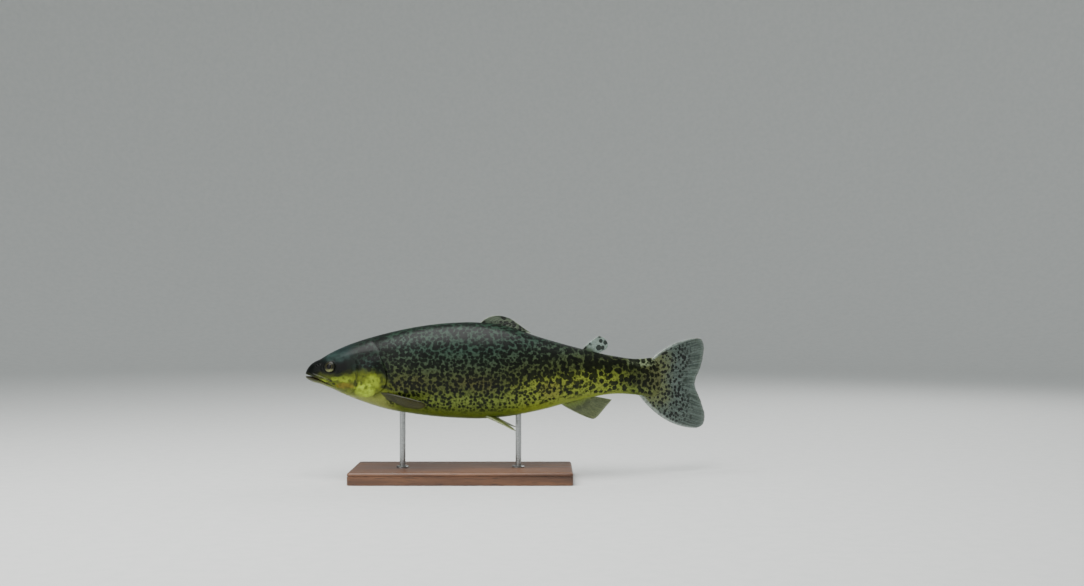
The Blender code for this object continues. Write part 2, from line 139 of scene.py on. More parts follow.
def meshObject(name, points, faces, materials, faceMaterials=None):
    mesh = bpy.data.meshes.new(name)
    points = np.asarray(points, dtype=np.float32).reshape(-1, 3)
    sizes = np.array([len(face) for face in faces], dtype=np.int32)
    loops = np.concatenate([np.asarray(face, dtype=np.int32) for face in faces])
    mesh.vertices.add(len(points))
    mesh.vertices.foreach_set("co", points.ravel())
    mesh.loops.add(len(loops))
    mesh.loops.foreach_set("vertex_index", loops)
    mesh.polygons.add(len(sizes))
    mesh.polygons.foreach_set("loop_start", np.concatenate([[0], np.cumsum(sizes)[:-1]]).astype(np.int32))
    if faceMaterials is not None:
        mesh.polygons.foreach_set("material_index", np.asarray(faceMaterials, dtype=np.int32))
    mesh.update(calc_edges=True)
    mesh.validate()
    for material in materials:
        mesh.materials.append(material)
    mesh.shade_smooth()
    made = bpy.data.objects.new(name, mesh)
    bpy.context.scene.collection.objects.link(made)
    return made


def turnFacesOut(made, weld=0.0):
    # points closer than weld become one
    shape = bmesh.new()
    shape.from_mesh(made.data)
    if weld:
        bmesh.ops.remove_doubles(shape, verts=shape.verts, dist=weld)
    bmesh.ops.recalc_face_normals(shape, faces=shape.faces)
    shape.to_mesh(made.data)
    shape.free()
    made.data.shade_smooth()


def addMap(made, name, places):
    # a UV map with one place for each point of the mesh
    order = np.empty(len(made.data.loops), dtype=np.int32)
    made.data.loops.foreach_get("vertex_index", order)
    unwrap = made.data.uv_layers.new(name=name)
    unwrap.data.foreach_set("uv", places[order].astype(np.float32).ravel())


def gridFaces(rows, columns, start=0, closed=False, flip=False):
    i, j = np.meshgrid(np.arange(rows - 1), np.arange(columns if closed else columns - 1), indexing="ij")
    after = (j + 1) % columns
    quads = np.stack([i * columns + j, i * columns + after,
                      (i + 1) * columns + after, (i + 1) * columns + j], -1)
    quads = quads.reshape(-1, 4) + start
    return quads[:, ::-1] if flip else quads


def gridNormals(points):
    normals = np.cross(np.gradient(points, axis=0), np.gradient(points, axis=1))
    return normals / np.maximum(np.linalg.norm(normals, axis=-1, keepdims=True), 1e-12)


def boxOf(node):
    # a solid's middle, half sizes, lowest and highest corner
    low, top = (np.array(corner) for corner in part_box(node))
    return (low + top) / 2, (top - low) / 2, low, top


noseTip = np.array([-0.188, 0.006, 0.128])
view = {
    "distance": 1.70,  # metres from the snout's plane
    "aside": 0.2828,  # camera to the tail side of the snout tip
    "above": 0.0947,  # camera above the fish's middle line
    "lens": 47.1,
}


def makeView():
    camera = bpy.data.cameras.new("viewCamera")
    camera.lens = view["lens"]
    camera.sensor_width = 36
    camera.clip_start = 0.05
    holder = bpy.data.objects.new("viewCamera", camera)
    bpy.context.scene.collection.objects.link(holder)
    holder.location = noseTip + (view["aside"], -view["distance"], view["above"])
    holder.rotation_euler = (math.radians(90), 0, 0)
    bpy.context.scene.camera = holder


studio = {
    "floorRadius": 2.6,
    "sweep": 1.4,  # radius of the bend from floor to wall
    "wallHeight": 3.2,
    "sides": 96,
    "floorColours": ("#d6d8d5", "#dcddda"),
    "lights": {  # place, what it points at, size in metres, watts
        "keyLight": ((-0.35, -0.55, 1.45), (0.0, 0.0, 0.12), 1.3, 46.0),
        "fillLight": ((-1.5, -1.6, 0.7), (0.0, 0.0, 0.12), 1.2, 8.0),
        "backLight": ((0.9, 1.1, 1.1), (0.05, 0.0, 0.12), 0.9, 9.0),
    },
    "skyColour": "#dfe6ea",
    "skyStrength": 0.50,
}


def studioPaint():
    # matt wall paint: even and soft, with the faintest roller texture, drawn coarser than the real 2 mm
    made, add = newMaterial("mattStudioPaint")
    spot = add("TexCoord", output="Object")
    grain = add("TexNoise", {"Vector": spot, "Scale": 1000 / 16.67, "Detail": 4.0})
    tone = add("ValToRGB", (grain,), stops=tuple(zip((0.3, 0.7), studio["floorColours"])))
    return finishMaterial(made, add, tone, 0.85, grain, (0.08, 1.0))


def makeStudio():
    # a pale floor that sweeps up into a wall all round, so that no edge shows behind the fish
    flat, sweep, sides = studio["floorRadius"], studio["sweep"], studio["sides"]
    profile = [(0.01, 0.0), (flat, 0.0)]
    profile += [(flat + sweep * math.sin(a), sweep - sweep * math.cos(a))
                for a in np.linspace(0.05, math.pi / 2, 24)]
    profile.append((flat + sweep, studio["wallHeight"]))
    around = np.linspace(0, 2 * np.pi, sides, endpoint=False)
    points = [(reach * math.cos(a), reach * math.sin(a), z) for reach, z in profile for a in around]
    faces = [tuple(face) for face in gridFaces(len(profile), sides, closed=True, flip=True)]
    meshObject("studioFloor", points, faces + [tuple(range(sides))], [studioPaint()])
    for name, (place, target, size, power) in studio["lights"].items():
        lamp = bpy.data.lights.new(name, "AREA")
        lamp.size = size
        lamp.energy = power
        holder = bpy.data.objects.new(name, lamp)
        bpy.context.scene.collection.objects.link(holder)
        holder.location = place
        x, y, z = np.array(place) - np.array(target)
        holder.rotation_euler = (math.atan2(math.hypot(x, y), z), 0, math.atan2(y, x) + math.pi / 2)
    world = bpy.data.worlds.new("softSky")
    world.use_nodes = True
    sky = world.node_tree.nodes["Background"]
    sky.inputs["Color"].default_value = toLinear(studio["skyColour"])
    sky.inputs["Strength"].default_value = studio["skyStrength"]
    bpy.context.scene.world = world


makeView()
makeStudio()
print("view and studio ready")

body = {
    "length": 0.425,  # metres from the snout tip to the end of the flesh
    "bendStart": 0.42,  # share of the length where the tail's turn begins
    "noseTurn": 6.5,  # degrees
    "tailTurn": 28.0,
    "finTurn": 10.0,
    "tailFinShare": 0.176,
    "droop": 11.2,  # mm that the tail hangs below the head
    "backPower": 2.15,  # how square the back and the belly are, 2 being an ellipse
    "bellyPower": 2.25,
    "snoutRounding": 0.034,
    "stations": (  # share of the length, then mm above, below and half of the width
        (0.000, 10.6, 11.4, 9.6), (0.034, 14.2, 13.2, 12.4), (0.070, 22.9, 18.8, 16.2),
        (0.120, 32.6, 28.0, 20.6), (0.165, 39.2, 35.2, 23.4), (0.230, 46.9, 43.6, 26.2),
        (0.320, 55.0, 50.2, 28.6), (0.420, 59.6, 54.2, 29.5), (0.490, 60.3, 54.7, 29.2),
        (0.560, 57.2, 51.8, 27.8), (0.660, 45.2, 42.4, 23.4), (0.775, 33.9, 27.8, 16.4),
        (0.880, 26.5, 19.2, 10.4), (0.940, 24.7, 19.4, 7.2), (1.000, 27.4, 23.0, 4.2)),
    "thinning": (0.985, 1.050, 0.88),  # where the flesh thins over the tail fin's root, and by how much
    "fleshEnd": 1.030,
    "rootFan": 0.028,  # how much further it reaches at mid height
    "coatDepth": 0.45,  # mm that the skin lies below the solids where scales cover it
    "bareDepth": 0.12,  # the same on the head, which has none
}


def heading(along):
    start = body["bendStart"]
    front = -body["noseTurn"] * np.clip(1 - along / start, 0, 1) ** 1.3
    rear = body["tailTurn"] * np.clip((along - start) / (1 - start), 0, 1) ** 2
    fin = body["finTurn"] * np.clip((along - 1) / body["tailFinShare"], 0, 1)
    return np.radians(front + rear + fin)


spineSteps = np.linspace(0, 1.3, 1301)
spineTurns = heading((spineSteps[1:] + spineSteps[:-1]) / 2)
spineX, spineY = (np.concatenate([[0], np.cumsum(run(spineTurns))]) * body["length"] / 1000
                  for run in (np.cos, np.sin))


def spinePoint(along):
    share = np.maximum(along, 0)
    start = body["bendStart"]
    droop = body["droop"] * mm * np.clip((share - start) / (1 - start), 0, None) ** 1.5
    x = noseTip[0] + np.interp(share, spineSteps, spineX) + np.minimum(along, 0) * body["length"]
    y = noseTip[1] + np.interp(share, spineSteps, spineY)
    return np.stack([x, y, noseTip[2] - droop], -1)


def leftOf(along):
    turn = heading(np.maximum(along, 0))
    return np.stack([np.sin(turn), -np.cos(turn), np.zeros_like(turn)], -1)


def halfSizes(along):
    # above, below and to the side of the middle line, and how far the snout's end has closed
    sizes = curveThrough(body["stations"], along) * mm
    closing = np.sqrt(np.clip(1 - (1 - np.minimum(along / body["snoutRounding"], 1)) ** 2, 0, 1))
    start, end, share = body["thinning"]
    thinning = 1 - share * smoothStep(start, end, along)
    return sizes[..., 0] * closing, sizes[..., 1] * closing, sizes[..., 2] * closing * thinning, closing


def powered(value, power):
    return np.sign(value) * np.abs(value) ** (2 / power)


def bodyPoint(along, angle, grow=0.0):
    # angle runs from the back, over the left side, to the belly
    along, angle = np.broadcast_arrays(np.asarray(along, float), np.asarray(angle, float))
    above, below, side, closing = halfSizes(along)
    upper = np.cos(angle) >= 0
    power = np.where(upper, body["backPower"], body["bellyPower"])
    vertical = np.maximum(np.where(upper, above, below) + grow, 0)
    height = vertical * powered(np.cos(angle), power) + mouth["tipHeight"] * mm * (1 - closing)
    out = np.maximum(side + grow, 0) * powered(np.sin(angle), power)
    return spinePoint(along) + leftOf(along) * out[..., None] + height[..., None] * np.array([0, 0, 1.0])


mouth = {
    "line": ((0.0, -3.7), (4.0, -4.2), (17.0, -8.0), (30.0, -13.0), (41.0, -17.2)),  # mm
    "corner": 0.0965,  # share of the length
    "tipHeight": -3.7,
    "opening": 2.7,  # mm at the tip
    "degrees": 112,  # where the mouth's column of points lies behind the mouth
    "rows": ((0, 0.086), (60, 0.090), (112, 0.0965), (145, 0.080), (180, 0.066)),  # the snout's last row
    "lip": (0.3, 1.0, 0.9),  # the lips' rims: mm high, from the mouth's line, and wide
    "lining": ((0, (0.07, 0.25, 0.6)), (1, (1.0,)), (2, (0.6, 0.25, 0.07))),  # upper, deepest, lower strips
}
gill = {
    # the opening's edge: degrees round from the back, then share of the length
    "edge": ((0, 0.178), (30, 0.185), (55, 0.204), (70, 0.221), (85, 0.2345), (98, 0.2375), (110, 0.2295),
             (120, 0.213), (130, 0.193), (140, 0.168), (150, 0.143), (165, 0.120), (180, 0.114)),
    "free": (62, 76, 136, 154),  # degrees between which the edge stands free of the body
    "thickness": 1.0,  # mm
    # over the rim, forwards under it, then back out: share of the length, mm up, share where it isn't free
    "rim": ((0.0012, 0.72, 0.001), (0.0014, 0.25, 0.002), (0.0006, -0.25, 0.003), (-0.0060, -0.9, 0.004),
            (-0.0095, -1.5, 0.005), (-0.0060, -1.7, 0.007), (0.0000, -1.0, 0.009), (0.0050, -0.30, 0.012),
            (0.0110, 0.0, 0.016)),
}
grid = {"columns": 160, "mouthColumn": 96, "snoutRows": 84, "headRows": 84, "bodyRows": 100}


def gillShare(degrees):
    return curveThrough(gill["edge"], degrees)[..., 0]


def lineDistance(line, count, x, z):
    # signed distance in mm to a smooth line, positive on its left, and the share along it
    line = curveThrough(spreadEvenly(line), np.linspace(0, 1, count))
    best, signed, share = np.full(x.shape, 1e9), np.zeros(x.shape), np.zeros(x.shape)
    lengths = np.linalg.norm(np.diff(line, axis=0), axis=1)
    starts = np.concatenate([[0], np.cumsum(lengths)])
    for k in range(len(line) - 1):
        run = (line[k + 1] - line[k]) / lengths[k]
        dx, dz = x - line[k][0], z - line[k][1]
        part = np.clip(dx * run[0] + dz * run[1], 0, lengths[k])
        distance = np.hypot(dx - part * run[0], dz - part * run[1])
        nearer = distance < best
        best = np.where(nearer, distance, best)
        signed = np.where(nearer, distance * np.sign(run[0] * dz - run[1] * dx), signed)
        share = np.where(nearer, (starts[k] + part) / starts[-1], share)
    return signed, share


def fading(share, start, end):
    # 1 along a line, down to 0 over these shares at its ends
    rise = smoothStep(0.0, start, share) if start else 1
    return rise * (1 - smoothStep(1 - end, 1.0, share) if end else 1)


lowerSeam = ((50.0, -29.0), (62.0, -27.0), (72.0, -25.0), (84.0, -22.5))
head = {  # places are mm behind the snout tip and above the middle line
    "eye": (33.4, 7.0),
    "socket": (4.6, 5.6, 6.55),  # mm deep, and the radii its wall runs between
    "eyeRims": ((0.20, 7.2, 0.7), (-0.08, 9.0, 0.8)),  # mm high, radius, width
    "lowerRim": (0.14, 10.6, 1.2),
    "maxilla": ((4.5, -0.9), (14.0, -4.0), (26.0, -8.6), (37.5, -14.2), (41.0, -16.4)),
    "maxillaWidths": ((0, 1.0), (0.3, 1.9), (0.7, 2.6), (0.9, 2.5), (1.0, 1.6)),
    "preopercle": ((63.0, 17.0), (66.0, 8.0), (67.0, -3.0), (65.5, -14.0), (60.0, -22.5), (50.0, -27.5)),
    "grooves": (  # line, mm deep, mm wide, shares over which its ends fade
        (((68.0, -12.5), (80.0, -16.0), (95.0, -17.5)), 0.42, 0.55, 0.1, 0),
        (lowerSeam, 0.40, 0.6, 0, 0),
        (((4.0, -8.6), (16.0, -12.6), (30.0, -18.0), (44.0, -23.5)), 0.35, 0.7, 0.1, 0.1)),
    "nostrils": ((15.8, 7.6, 1.3), (18.8, 8.8, 1.0)),  # place, then mm deep
    "poreDepth": 0.28,
    "gillPlate": (1.0, 82, 9, -4, 13),  # swelling: mm high, then middle and reach along and up
    "gillRays": (0.3, 3.1),  # mm high and apart
}


def headRelief(x, z):
    # mm to raise or lower the skin, from mm behind the snout and above the middle line
    relief = np.zeros(x.shape)
    signed, share = lineDistance(head["maxilla"], 24, x, z)
    width = curveThrough(head["maxillaWidths"], share)[..., 0]
    inside = 1 - np.abs(signed) / width
    raised = 0.85 * smoothStep(-0.05, 0.38, inside) + 0.25 * np.clip(inside, 0, 1)
    relief += raised * smoothStep(0.0, 0.35, share)
    relief -= 0.45 * hump(signed - width - 0.6, 0.7) * smoothStep(0.12, 0.4, share)
    eyeX, eyeZ = head["eye"]
    radius = np.hypot(x - eyeX, (z - eyeZ) * 1.04)
    depth, inner, outer = head["socket"]
    relief -= depth * (1 - smoothStep(inner, outer, radius))
    for high, at, wide in head["eyeRims"]:
        relief += high * hump(radius - at, wide)
    high, at, wide = head["lowerRim"]
    relief += high * hump(radius - at, wide) * smoothStep(3, -2, z - eyeZ)
    # the preopercle stands over a step down to the gill cover, with a faint line before it
    behind, share = lineDistance(head["preopercle"], 30, x, z)
    step = np.where(behind > 0, -0.75 * hump(behind - 0.5, 1.3), 0.45 * hump(behind + 0.6, 2.6))
    relief += fading(share, 0.15, 0.1) * (step - 0.25 * hump(behind + 5.5, 0.9))
    for line, deep, wide, start, end in head["grooves"]:
        signed, share = lineDistance(line, 16, x, z)
        relief -= deep * hump(signed, wide) * fading(share, start, end)
    for holeX, holeZ, deep in head["nostrils"]:
        reach = np.hypot(x - holeX, z - holeZ)
        relief += 0.35 * hump(reach - 1.5, 0.45) - deep * (1 - smoothStep(0.45, 1.1, reach))
    # sensory pores under the eye, then down the cheek bone
    turns = np.radians(200 + 17 * np.arange(9))
    pores = [(eyeX + 12.6 * math.cos(turn), eyeZ + 11.6 * math.sin(turn), 0.55) for turn in turns]
    pores += [(61.5 - 0.9 * step * (step > 3), 10.0 - 6.2 * step, 0.6) for step in range(6)]
    for poreX, poreZ, wide in pores:
        relief -= head["poreDepth"] * hump(np.hypot(x - poreX, z - poreZ), wide)
    return relief


def gillRelief(x, z, degrees):
    # the gill cover's plates swell a little; thin bony rays lie in the membrane below it
    high, atX, wideX, atZ, wideZ = head["gillPlate"]
    rayHigh, rayPitch = head["gillRays"]
    signed, _ = lineDistance(lowerSeam, 16, x, z)
    below = smoothStep(1.0, 3.0, -signed) * smoothStep(30, 40, x) * (degrees > 100)
    rays = rayHigh * below * np.cos(2 * math.pi * signed / rayPitch)
    return rays + high * hump(x - atX, wideX) * hump(z - atZ, wideZ)


def skinRows():
    # for each row from the snout to the tail: each column's share of the length and mm it is lifted
    count, mouthAt, turned = grid["columns"], grid["mouthColumn"], mouth["degrees"]
    column = np.arange(count + 1)
    nominal = np.where(column <= mouthAt, turned * column / mouthAt,
                       turned + (180 - turned) * (column - mouthAt) / (count - mouthAt))
    gillAt = gillShare(nominal)
    first = curveThrough(mouth["rows"], nominal)[:, 0]
    first[mouthAt] = mouth["corner"]
    low, high, fall, end = gill["free"]
    folded = smoothStep(low, high, nominal) * (1 - smoothStep(fall, end, nominal))
    flat = np.zeros(count + 1)
    rows = [(first * t**1.35, flat) for t in np.linspace(0, 1, grid["snoutRows"] + 1)]
    for t in np.linspace(0, 1, grid["headRows"] + 1)[1:]:
        rows.append((first + (gillAt - first) * t, smoothStep(0.25, 0.9, t) * gill["thickness"] * folded))
    for ahead, lift, plain in gill["rim"]:
        rows.append((gillAt + folded * ahead + (1 - folded) * plain, folded * lift))
    start = rows[-1][0]
    fleshEnd = body["fleshEnd"] + body["rootFan"] * (np.sin(np.radians(nominal)) ** 2 - 0.5)
    for t in np.linspace(0, 1, grid["bodyRows"] + 1)[1:]:
        rows.append((start + (fleshEnd - start) * t, flat))
    along, lift = np.array(rows).transpose(1, 0, 2)
    return along, lift, gillAt


def skinPoints(along, lift, gillAt):
    # the left side's points, with the mouth's column once above and once below the mouth
    count, mouthAt = grid["columns"], grid["mouthColumn"]
    column = np.arange(count + 1)
    mouthLine = curveThrough(mouth["line"], along * body["length"] / mm)[..., 0]
    _, below, _, closing = halfSizes(np.minimum(along, mouth["corner"]))
    depth = np.clip((mouth["tipHeight"] * (1 - closing) - mouthLine) * mm / np.maximum(below, 1e-9), 0, 0.98)
    atMouth = np.pi / 2 + np.arcsin(depth ** (body["bellyPower"] / 2))
    relax = smoothStep(mouth["corner"], 0.2, along)
    atMouth = atMouth * (1 - relax) + math.radians(mouth["degrees"]) * relax
    after = (column - mouthAt) / (count - mouthAt)
    angle = np.where(column <= mouthAt, atMouth * column / mouthAt, atMouth + (np.pi - atMouth) * after)
    behind = along * body["length"] / mm
    bare = body["bareDepth"]
    inset = bare + (body["coatDepth"] - bare) * smoothStep(0, 0.02, along - gillAt)
    plain = bodyPoint(along, angle, -inset * mm)
    height = (plain - spinePoint(along))[..., 2] / mm
    normals = -gridNormals(plain)
    normals[0] = (-1, 0, 0)
    relief = headRelief(behind, height) * (1 - smoothStep(-0.004, 0.004, along - gillAt))
    relief += np.where(along < gillAt + 0.0001, gillRelief(behind, height, np.degrees(angle)), 0)
    fromMouth = np.abs(height - mouthLine)
    high, at, wide = mouth["lip"]
    lips = (along < mouth["corner"]) & (fromMouth < 6)
    relief += np.where(lips, high * hump(fromMouth - at, wide), 0)
    points = plain + normals * ((relief + lift) * mm)[..., None]
    opening = mouth["opening"] / 2 * np.clip(1 - along / mouth["corner"], 0, 1) ** 0.75
    opening = opening * (1 - smoothStep(0, 9, fromMouth)) * mm
    upper, lower = points.copy(), points.copy()
    upper[..., 2] += np.where(column <= mouthAt, opening, 0)
    lower[..., 2] -= opening
    return np.concatenate([upper[:, :mouthAt + 1], lower[:, mouthAt:]], axis=1)


def mirrorSides(points, along, mouthAt):
    # the right side is the left one mirrored in the body's bent middle plane
    sharesOf = np.concatenate([along[:, :mouthAt + 1], along[:, mouthAt:]], axis=1)
    out = leftOf(sharesOf)
    reach = ((points - spinePoint(sharesOf)) * out).sum(-1)
    return points - 2 * reach[..., None] * out


def mouthLining(points, lipShares, gaps, total):
    # strips from the upper lip inwards to a back line, and out again to the lower lip
    rows = list(range(grid["snoutRows"], 0, -1))
    rows = rows + [0] + rows[::-1]
    half = len(rows) // 2
    lips = [np.array([row * total + (left if i < half else right) for i, row in enumerate(rows)])
            for left, right in ((gaps[0], gaps[1] + 1), (gaps[0] + 1, gaps[1]))]
    lipX = lipShares[rows] * body["length"] / mm
    deepX = np.minimum(12 + 0.62 * lipX, 41) * mm / body["length"]
    halfway = (points[lips[0]] + points[lips[1]]) / 2
    middle = spinePoint(deepX)
    middle[:, 2] = noseTip[2] + curveThrough(mouth["line"], deepX * body["length"] / mm)[:, 0] * mm
    middle[:, 1] += 0.35 * (halfway[:, 1] - spinePoint(lipX * mm / body["length"])[:, 1])
    strips, added = [lips[0]], []
    for source, weights in mouth["lining"]:
        base = (points[lips[0]], halfway, points[lips[1]])[source]
        for weight in weights:
            strips.append(np.arange(len(rows)) + len(points) + len(rows) * len(added))
            added.append(base + (middle - base) * weight)
    strips.append(lips[1])
    faces = []
    for one, two in zip(strips, strips[1:]):
        faces += list(zip(one[:-1], one[1:], two[1:], two[:-1]))
    return faces, added


def makeSkin():
    mouthAt = grid["mouthColumn"]
    along, lift, gillAt = skinRows()
    leftSide = skinPoints(along, lift, gillAt)
    # one ring: left side from the back to the mouth and on to the belly, then the right side back up
    ring = np.concatenate([leftSide, mirrorSides(leftSide, along, mouthAt)[:, ::-1][:, 1:-1]], axis=1)
    total = ring.shape[1]
    gaps = (mouthAt, total - mouthAt - 1)
    faces = gridFaces(len(ring), total, closed=True, flip=True)
    inGap = [set(row) in ({gaps[0], gaps[0] + 1}, {gaps[1], gaps[1] + 1}) for row in (faces % total).tolist()]
    faces = [tuple(face) for face, skip in zip(faces, inGap) if not skip]
    points = ring.reshape(-1, 3)
    lining, added = mouthLining(points, along[:, mouthAt], gaps, total)
    capAt = (len(ring) - 1) * total
    end = [tuple(range(capAt, capAt + total))[::-1]]
    kinds = [0] * len(faces) + [1] * len(lining) + [0]
    made = meshObject("troutSkin", np.concatenate([points] + added), faces + lining + end, [], kinds)
    turnFacesOut(made, weld=1e-6)
    return made


skin = makeSkin()
print("skin ready:", len(skin.data.polygons), "faces")

coat = {
    # real scales are about 2.5 mm apart: these are drawn coarser, so that they show
    "rowHeight": 4.0,  # mm between scales in one ring where the body is deepest
    "rowLength": 3.0,
    "slimHeight": 0.36,  # powers by which both shrink with the body's girth
    "slimLength": 0.40,
    "length": 1.50,  # a scale's own length and width, times the row's
    "width": 1.14,
    "rise": 0.34,  # mm that the rear edge stands above the skin
    "sink": 0.20,  # mm that the root lies below it
    "thickness": 0.14,
    "root": 0.32,  # share of its length where a scale is rooted
    "lineRow": 80.0,  # degrees round from the back, where the lateral line runs
    "lineRise": 0.10,  # mm that its scales stand higher
    "start": 0.125,
    "end": 1.022,
    "afterGill": 0.006,
    "rodHole": 5.4,  # mm round a rod's middle without scales
    "shifts": (0.00022, 0.0011),  # uneven places, as shares along and round
    "uneven": (0.05, 0.12, 0.035),  # size, rise and turn
    "patch": 0.003,  # size of a scale on the OFBake map
}


def arcTable():
    # lengths in mm round one side of the body, from the back, and the angles at even parts of them
    shares, angles = np.linspace(0.10, 1.06, 270), np.linspace(0, np.pi, 241)
    points = bodyPoint(shares[:, None], angles[None, :], -body["coatDepth"] * mm)
    steps = np.linalg.norm(np.diff(points, axis=1), axis=2)
    arcs = np.concatenate([np.zeros((len(shares), 1)), np.cumsum(steps, axis=1)], axis=1) / mm
    return shares, angles, arcs, np.array([np.interp(arcPlaces * row[-1], row, angles) for row in arcs])


arcPlaces = np.linspace(0, 1, 241)
arcShares, arcAngles, arcs, angleTable = arcTable()


def halfGirth(along):
    return np.interp(along, arcShares, arcs[:, -1])


def angleAt(along, part):
    # angle of the point a part of the way from the back to the belly by arc length, past either too
    folded = np.where(part > 1, 2 - part, np.abs(part))
    i = np.clip(np.interp(along, arcShares, np.arange(len(arcShares))), 0, len(arcShares) - 1.001)
    j = np.clip(folded * (len(arcPlaces) - 1), 0, len(arcPlaces) - 1.001)
    i0, j0 = i.astype(int), j.astype(int)
    di, dj = i - i0, j - j0
    value = (angleTable[i0, j0] * (1 - di) * (1 - dj) + angleTable[i0 + 1, j0] * di * (1 - dj)
             + angleTable[i0, j0 + 1] * (1 - di) * dj + angleTable[i0 + 1, j0 + 1] * di * dj)
    return np.where(part > 1, 2 * np.pi - value, np.where(part < 0, -value, value))


def linePart(along):
    # the lateral line's part of the way round
    i = float(np.clip(np.interp(along, arcShares, np.arange(len(arcShares))), 0, len(arcShares) - 1.001))
    row = arcs[int(i)] * (1 - i + int(i)) + arcs[int(i) + 1] * (i - int(i))
    return float(np.interp(math.radians(coat["lineRow"]), arcAngles, row) / row[-1])


def scaleRoots(draw):
    # rings of roots from the gill cover to the tail, each ring half a scale off the one before
    roots, along, odd = [], coat["start"], False
    girths = halfGirth(arcShares).max()
    while along < coat["end"]:
        girth = float(halfGirth(along))
        rowHeight = coat["rowHeight"] * (girth / girths) ** coat["slimHeight"]
        rowLength = coat["rowLength"] * (girth / girths) ** coat["slimLength"]
        middle = linePart(along)
        step = rowHeight / girth
        counted = np.arange(-int(middle / step) - 1, int((1 - middle) / step) + 2)
        parts = middle + (counted + (0.5 if odd else 0)) * step
        parts = parts[(parts > -0.2 * step) & (parts < 1 + 0.2 * step)]
        angles = np.degrees(angleAt(np.full(parts.shape, along), parts))
        for part in parts[along > gillShare(np.clip(angles, 0, 180)) + coat["afterGill"]]:
            onLine = not odd and abs(part - middle) <= 0.2 * step
            roots.append((along, part, rowHeight, rowLength, onLine))
        along += 0.5 * rowLength * mm / body["length"]
        odd = not odd
    roots = np.array(roots, dtype=float)
    for column, spread in enumerate(coat["shifts"]):
        roots[:, column] += draw.normal(0, spread, len(roots))
    return roots


def makeScales(name, side, draw):
    roots = scaleRoots(draw)
    along, part = roots[:, :2].T
    # no scale where a rod passes through the skin
    anchor = bodyPoint(along, side * angleAt(along, part))
    clear = np.ones(len(roots), bool)
    for rod in ("stand_rod_front", "stand_rod_rear"):
        away = np.linalg.norm((anchor - boxOf(rod)[0])[:, :2], axis=1)
        clear &= (away > coat["rodHole"] * mm) | (part < 0.6)
    along, part, high, long, lateral = roots[clear].T
    count, sides = len(along), 12
    around = np.linspace(0, 2 * np.pi, sides, endpoint=False)
    reach = (1 - np.cos(around)) / 2  # 0 at the root, 1 at the rear edge
    spread = np.sin(around) * (0.80 + 0.20 * reach)
    size = draw.normal(1, coat["uneven"][0], (2, count))
    length = long * coat["length"] * size[0] * np.clip((coat["end"] + 0.02 - along) / 0.03, 0.45, 1)
    width = high * coat["width"] * size[1]
    rise = coat["rise"] * draw.normal(1, coat["uneven"][1], count) * (long / coat["rowLength"]) ** 0.5
    rise = rise + coat["lineRise"] * lateral
    twist = draw.normal(0, coat["uneven"][2], count)
    # the rim, then the middle on top and below
    u = np.concatenate([reach, [0.50, 0.50]])
    w = np.concatenate([spread, [0, 0]]) / 2
    down = np.concatenate([np.zeros(sides + 1), [1]])
    crown = np.concatenate([np.zeros(sides), [0.15, 0.0]])
    du = (u[None, :] - coat["root"]) * length[:, None]
    dw = w[None, :] * width[:, None] + twist[:, None] * du
    lift = -coat["sink"] + (rise[:, None] + coat["sink"]) * u[None, :] ** 1.2 + crown[None, :]
    lift = lift - 0.10 * (2 * w[None, :]) ** 2 - down[None, :] * coat["thickness"]
    lift = lift + 0.12 * lateral[:, None] * hump(dw, 0.5) * (1 - down)[None, :]
    alongAll = along[:, None] + du * mm / body["length"]
    partAll = part[:, None] + dw / halfGirth(along)[:, None]
    points = bodyPoint(alongAll, side * angleAt(alongAll, partAll), (lift - body["coatDepth"]) * mm)
    step = np.arange(sides)
    after = (step + 1) % sides
    one = np.concatenate([np.stack([step, after, np.full(sides, sides)], -1),
                          np.stack([after, step, np.full(sides, sides + 1)], -1)])
    if side > 0:
        one = one[:, ::-1]
    faces = (one[None] + (sides + 2) * np.arange(count)[:, None, None]).reshape(-1, 3)
    made = meshObject(name, points.reshape(-1, 3), faces, [])
    edges = np.empty(2 * len(made.data.edges), dtype=np.int32)
    made.data.edges.foreach_get("vertices", edges)
    sharp = (edges.reshape(-1, 2) % (sides + 2) < sides).all(axis=1)
    made.data.attributes.new("sharp_edge", "BOOLEAN", "EDGE").data.foreach_set("value", sharp)
    # each scale is a small patch at its root's place on an unwrap of the body
    across = (0.02 + 0.96 * along)[:, None] + (u[None, :] - coat["root"]) * coat["patch"]
    up = (0.5 + side * 0.48 * part)[:, None] + w[None, :] * coat["patch"]
    addMap(made, "OFBake", np.stack([across, up], -1).reshape(-1, 2))
    return made


draw = np.random.default_rng(21)
scales = [makeScales("scalesLeft", 1, draw), makeScales("scalesRight", -1, draw)]
print("scales ready:", [len(piece.data.polygons) for piece in scales])


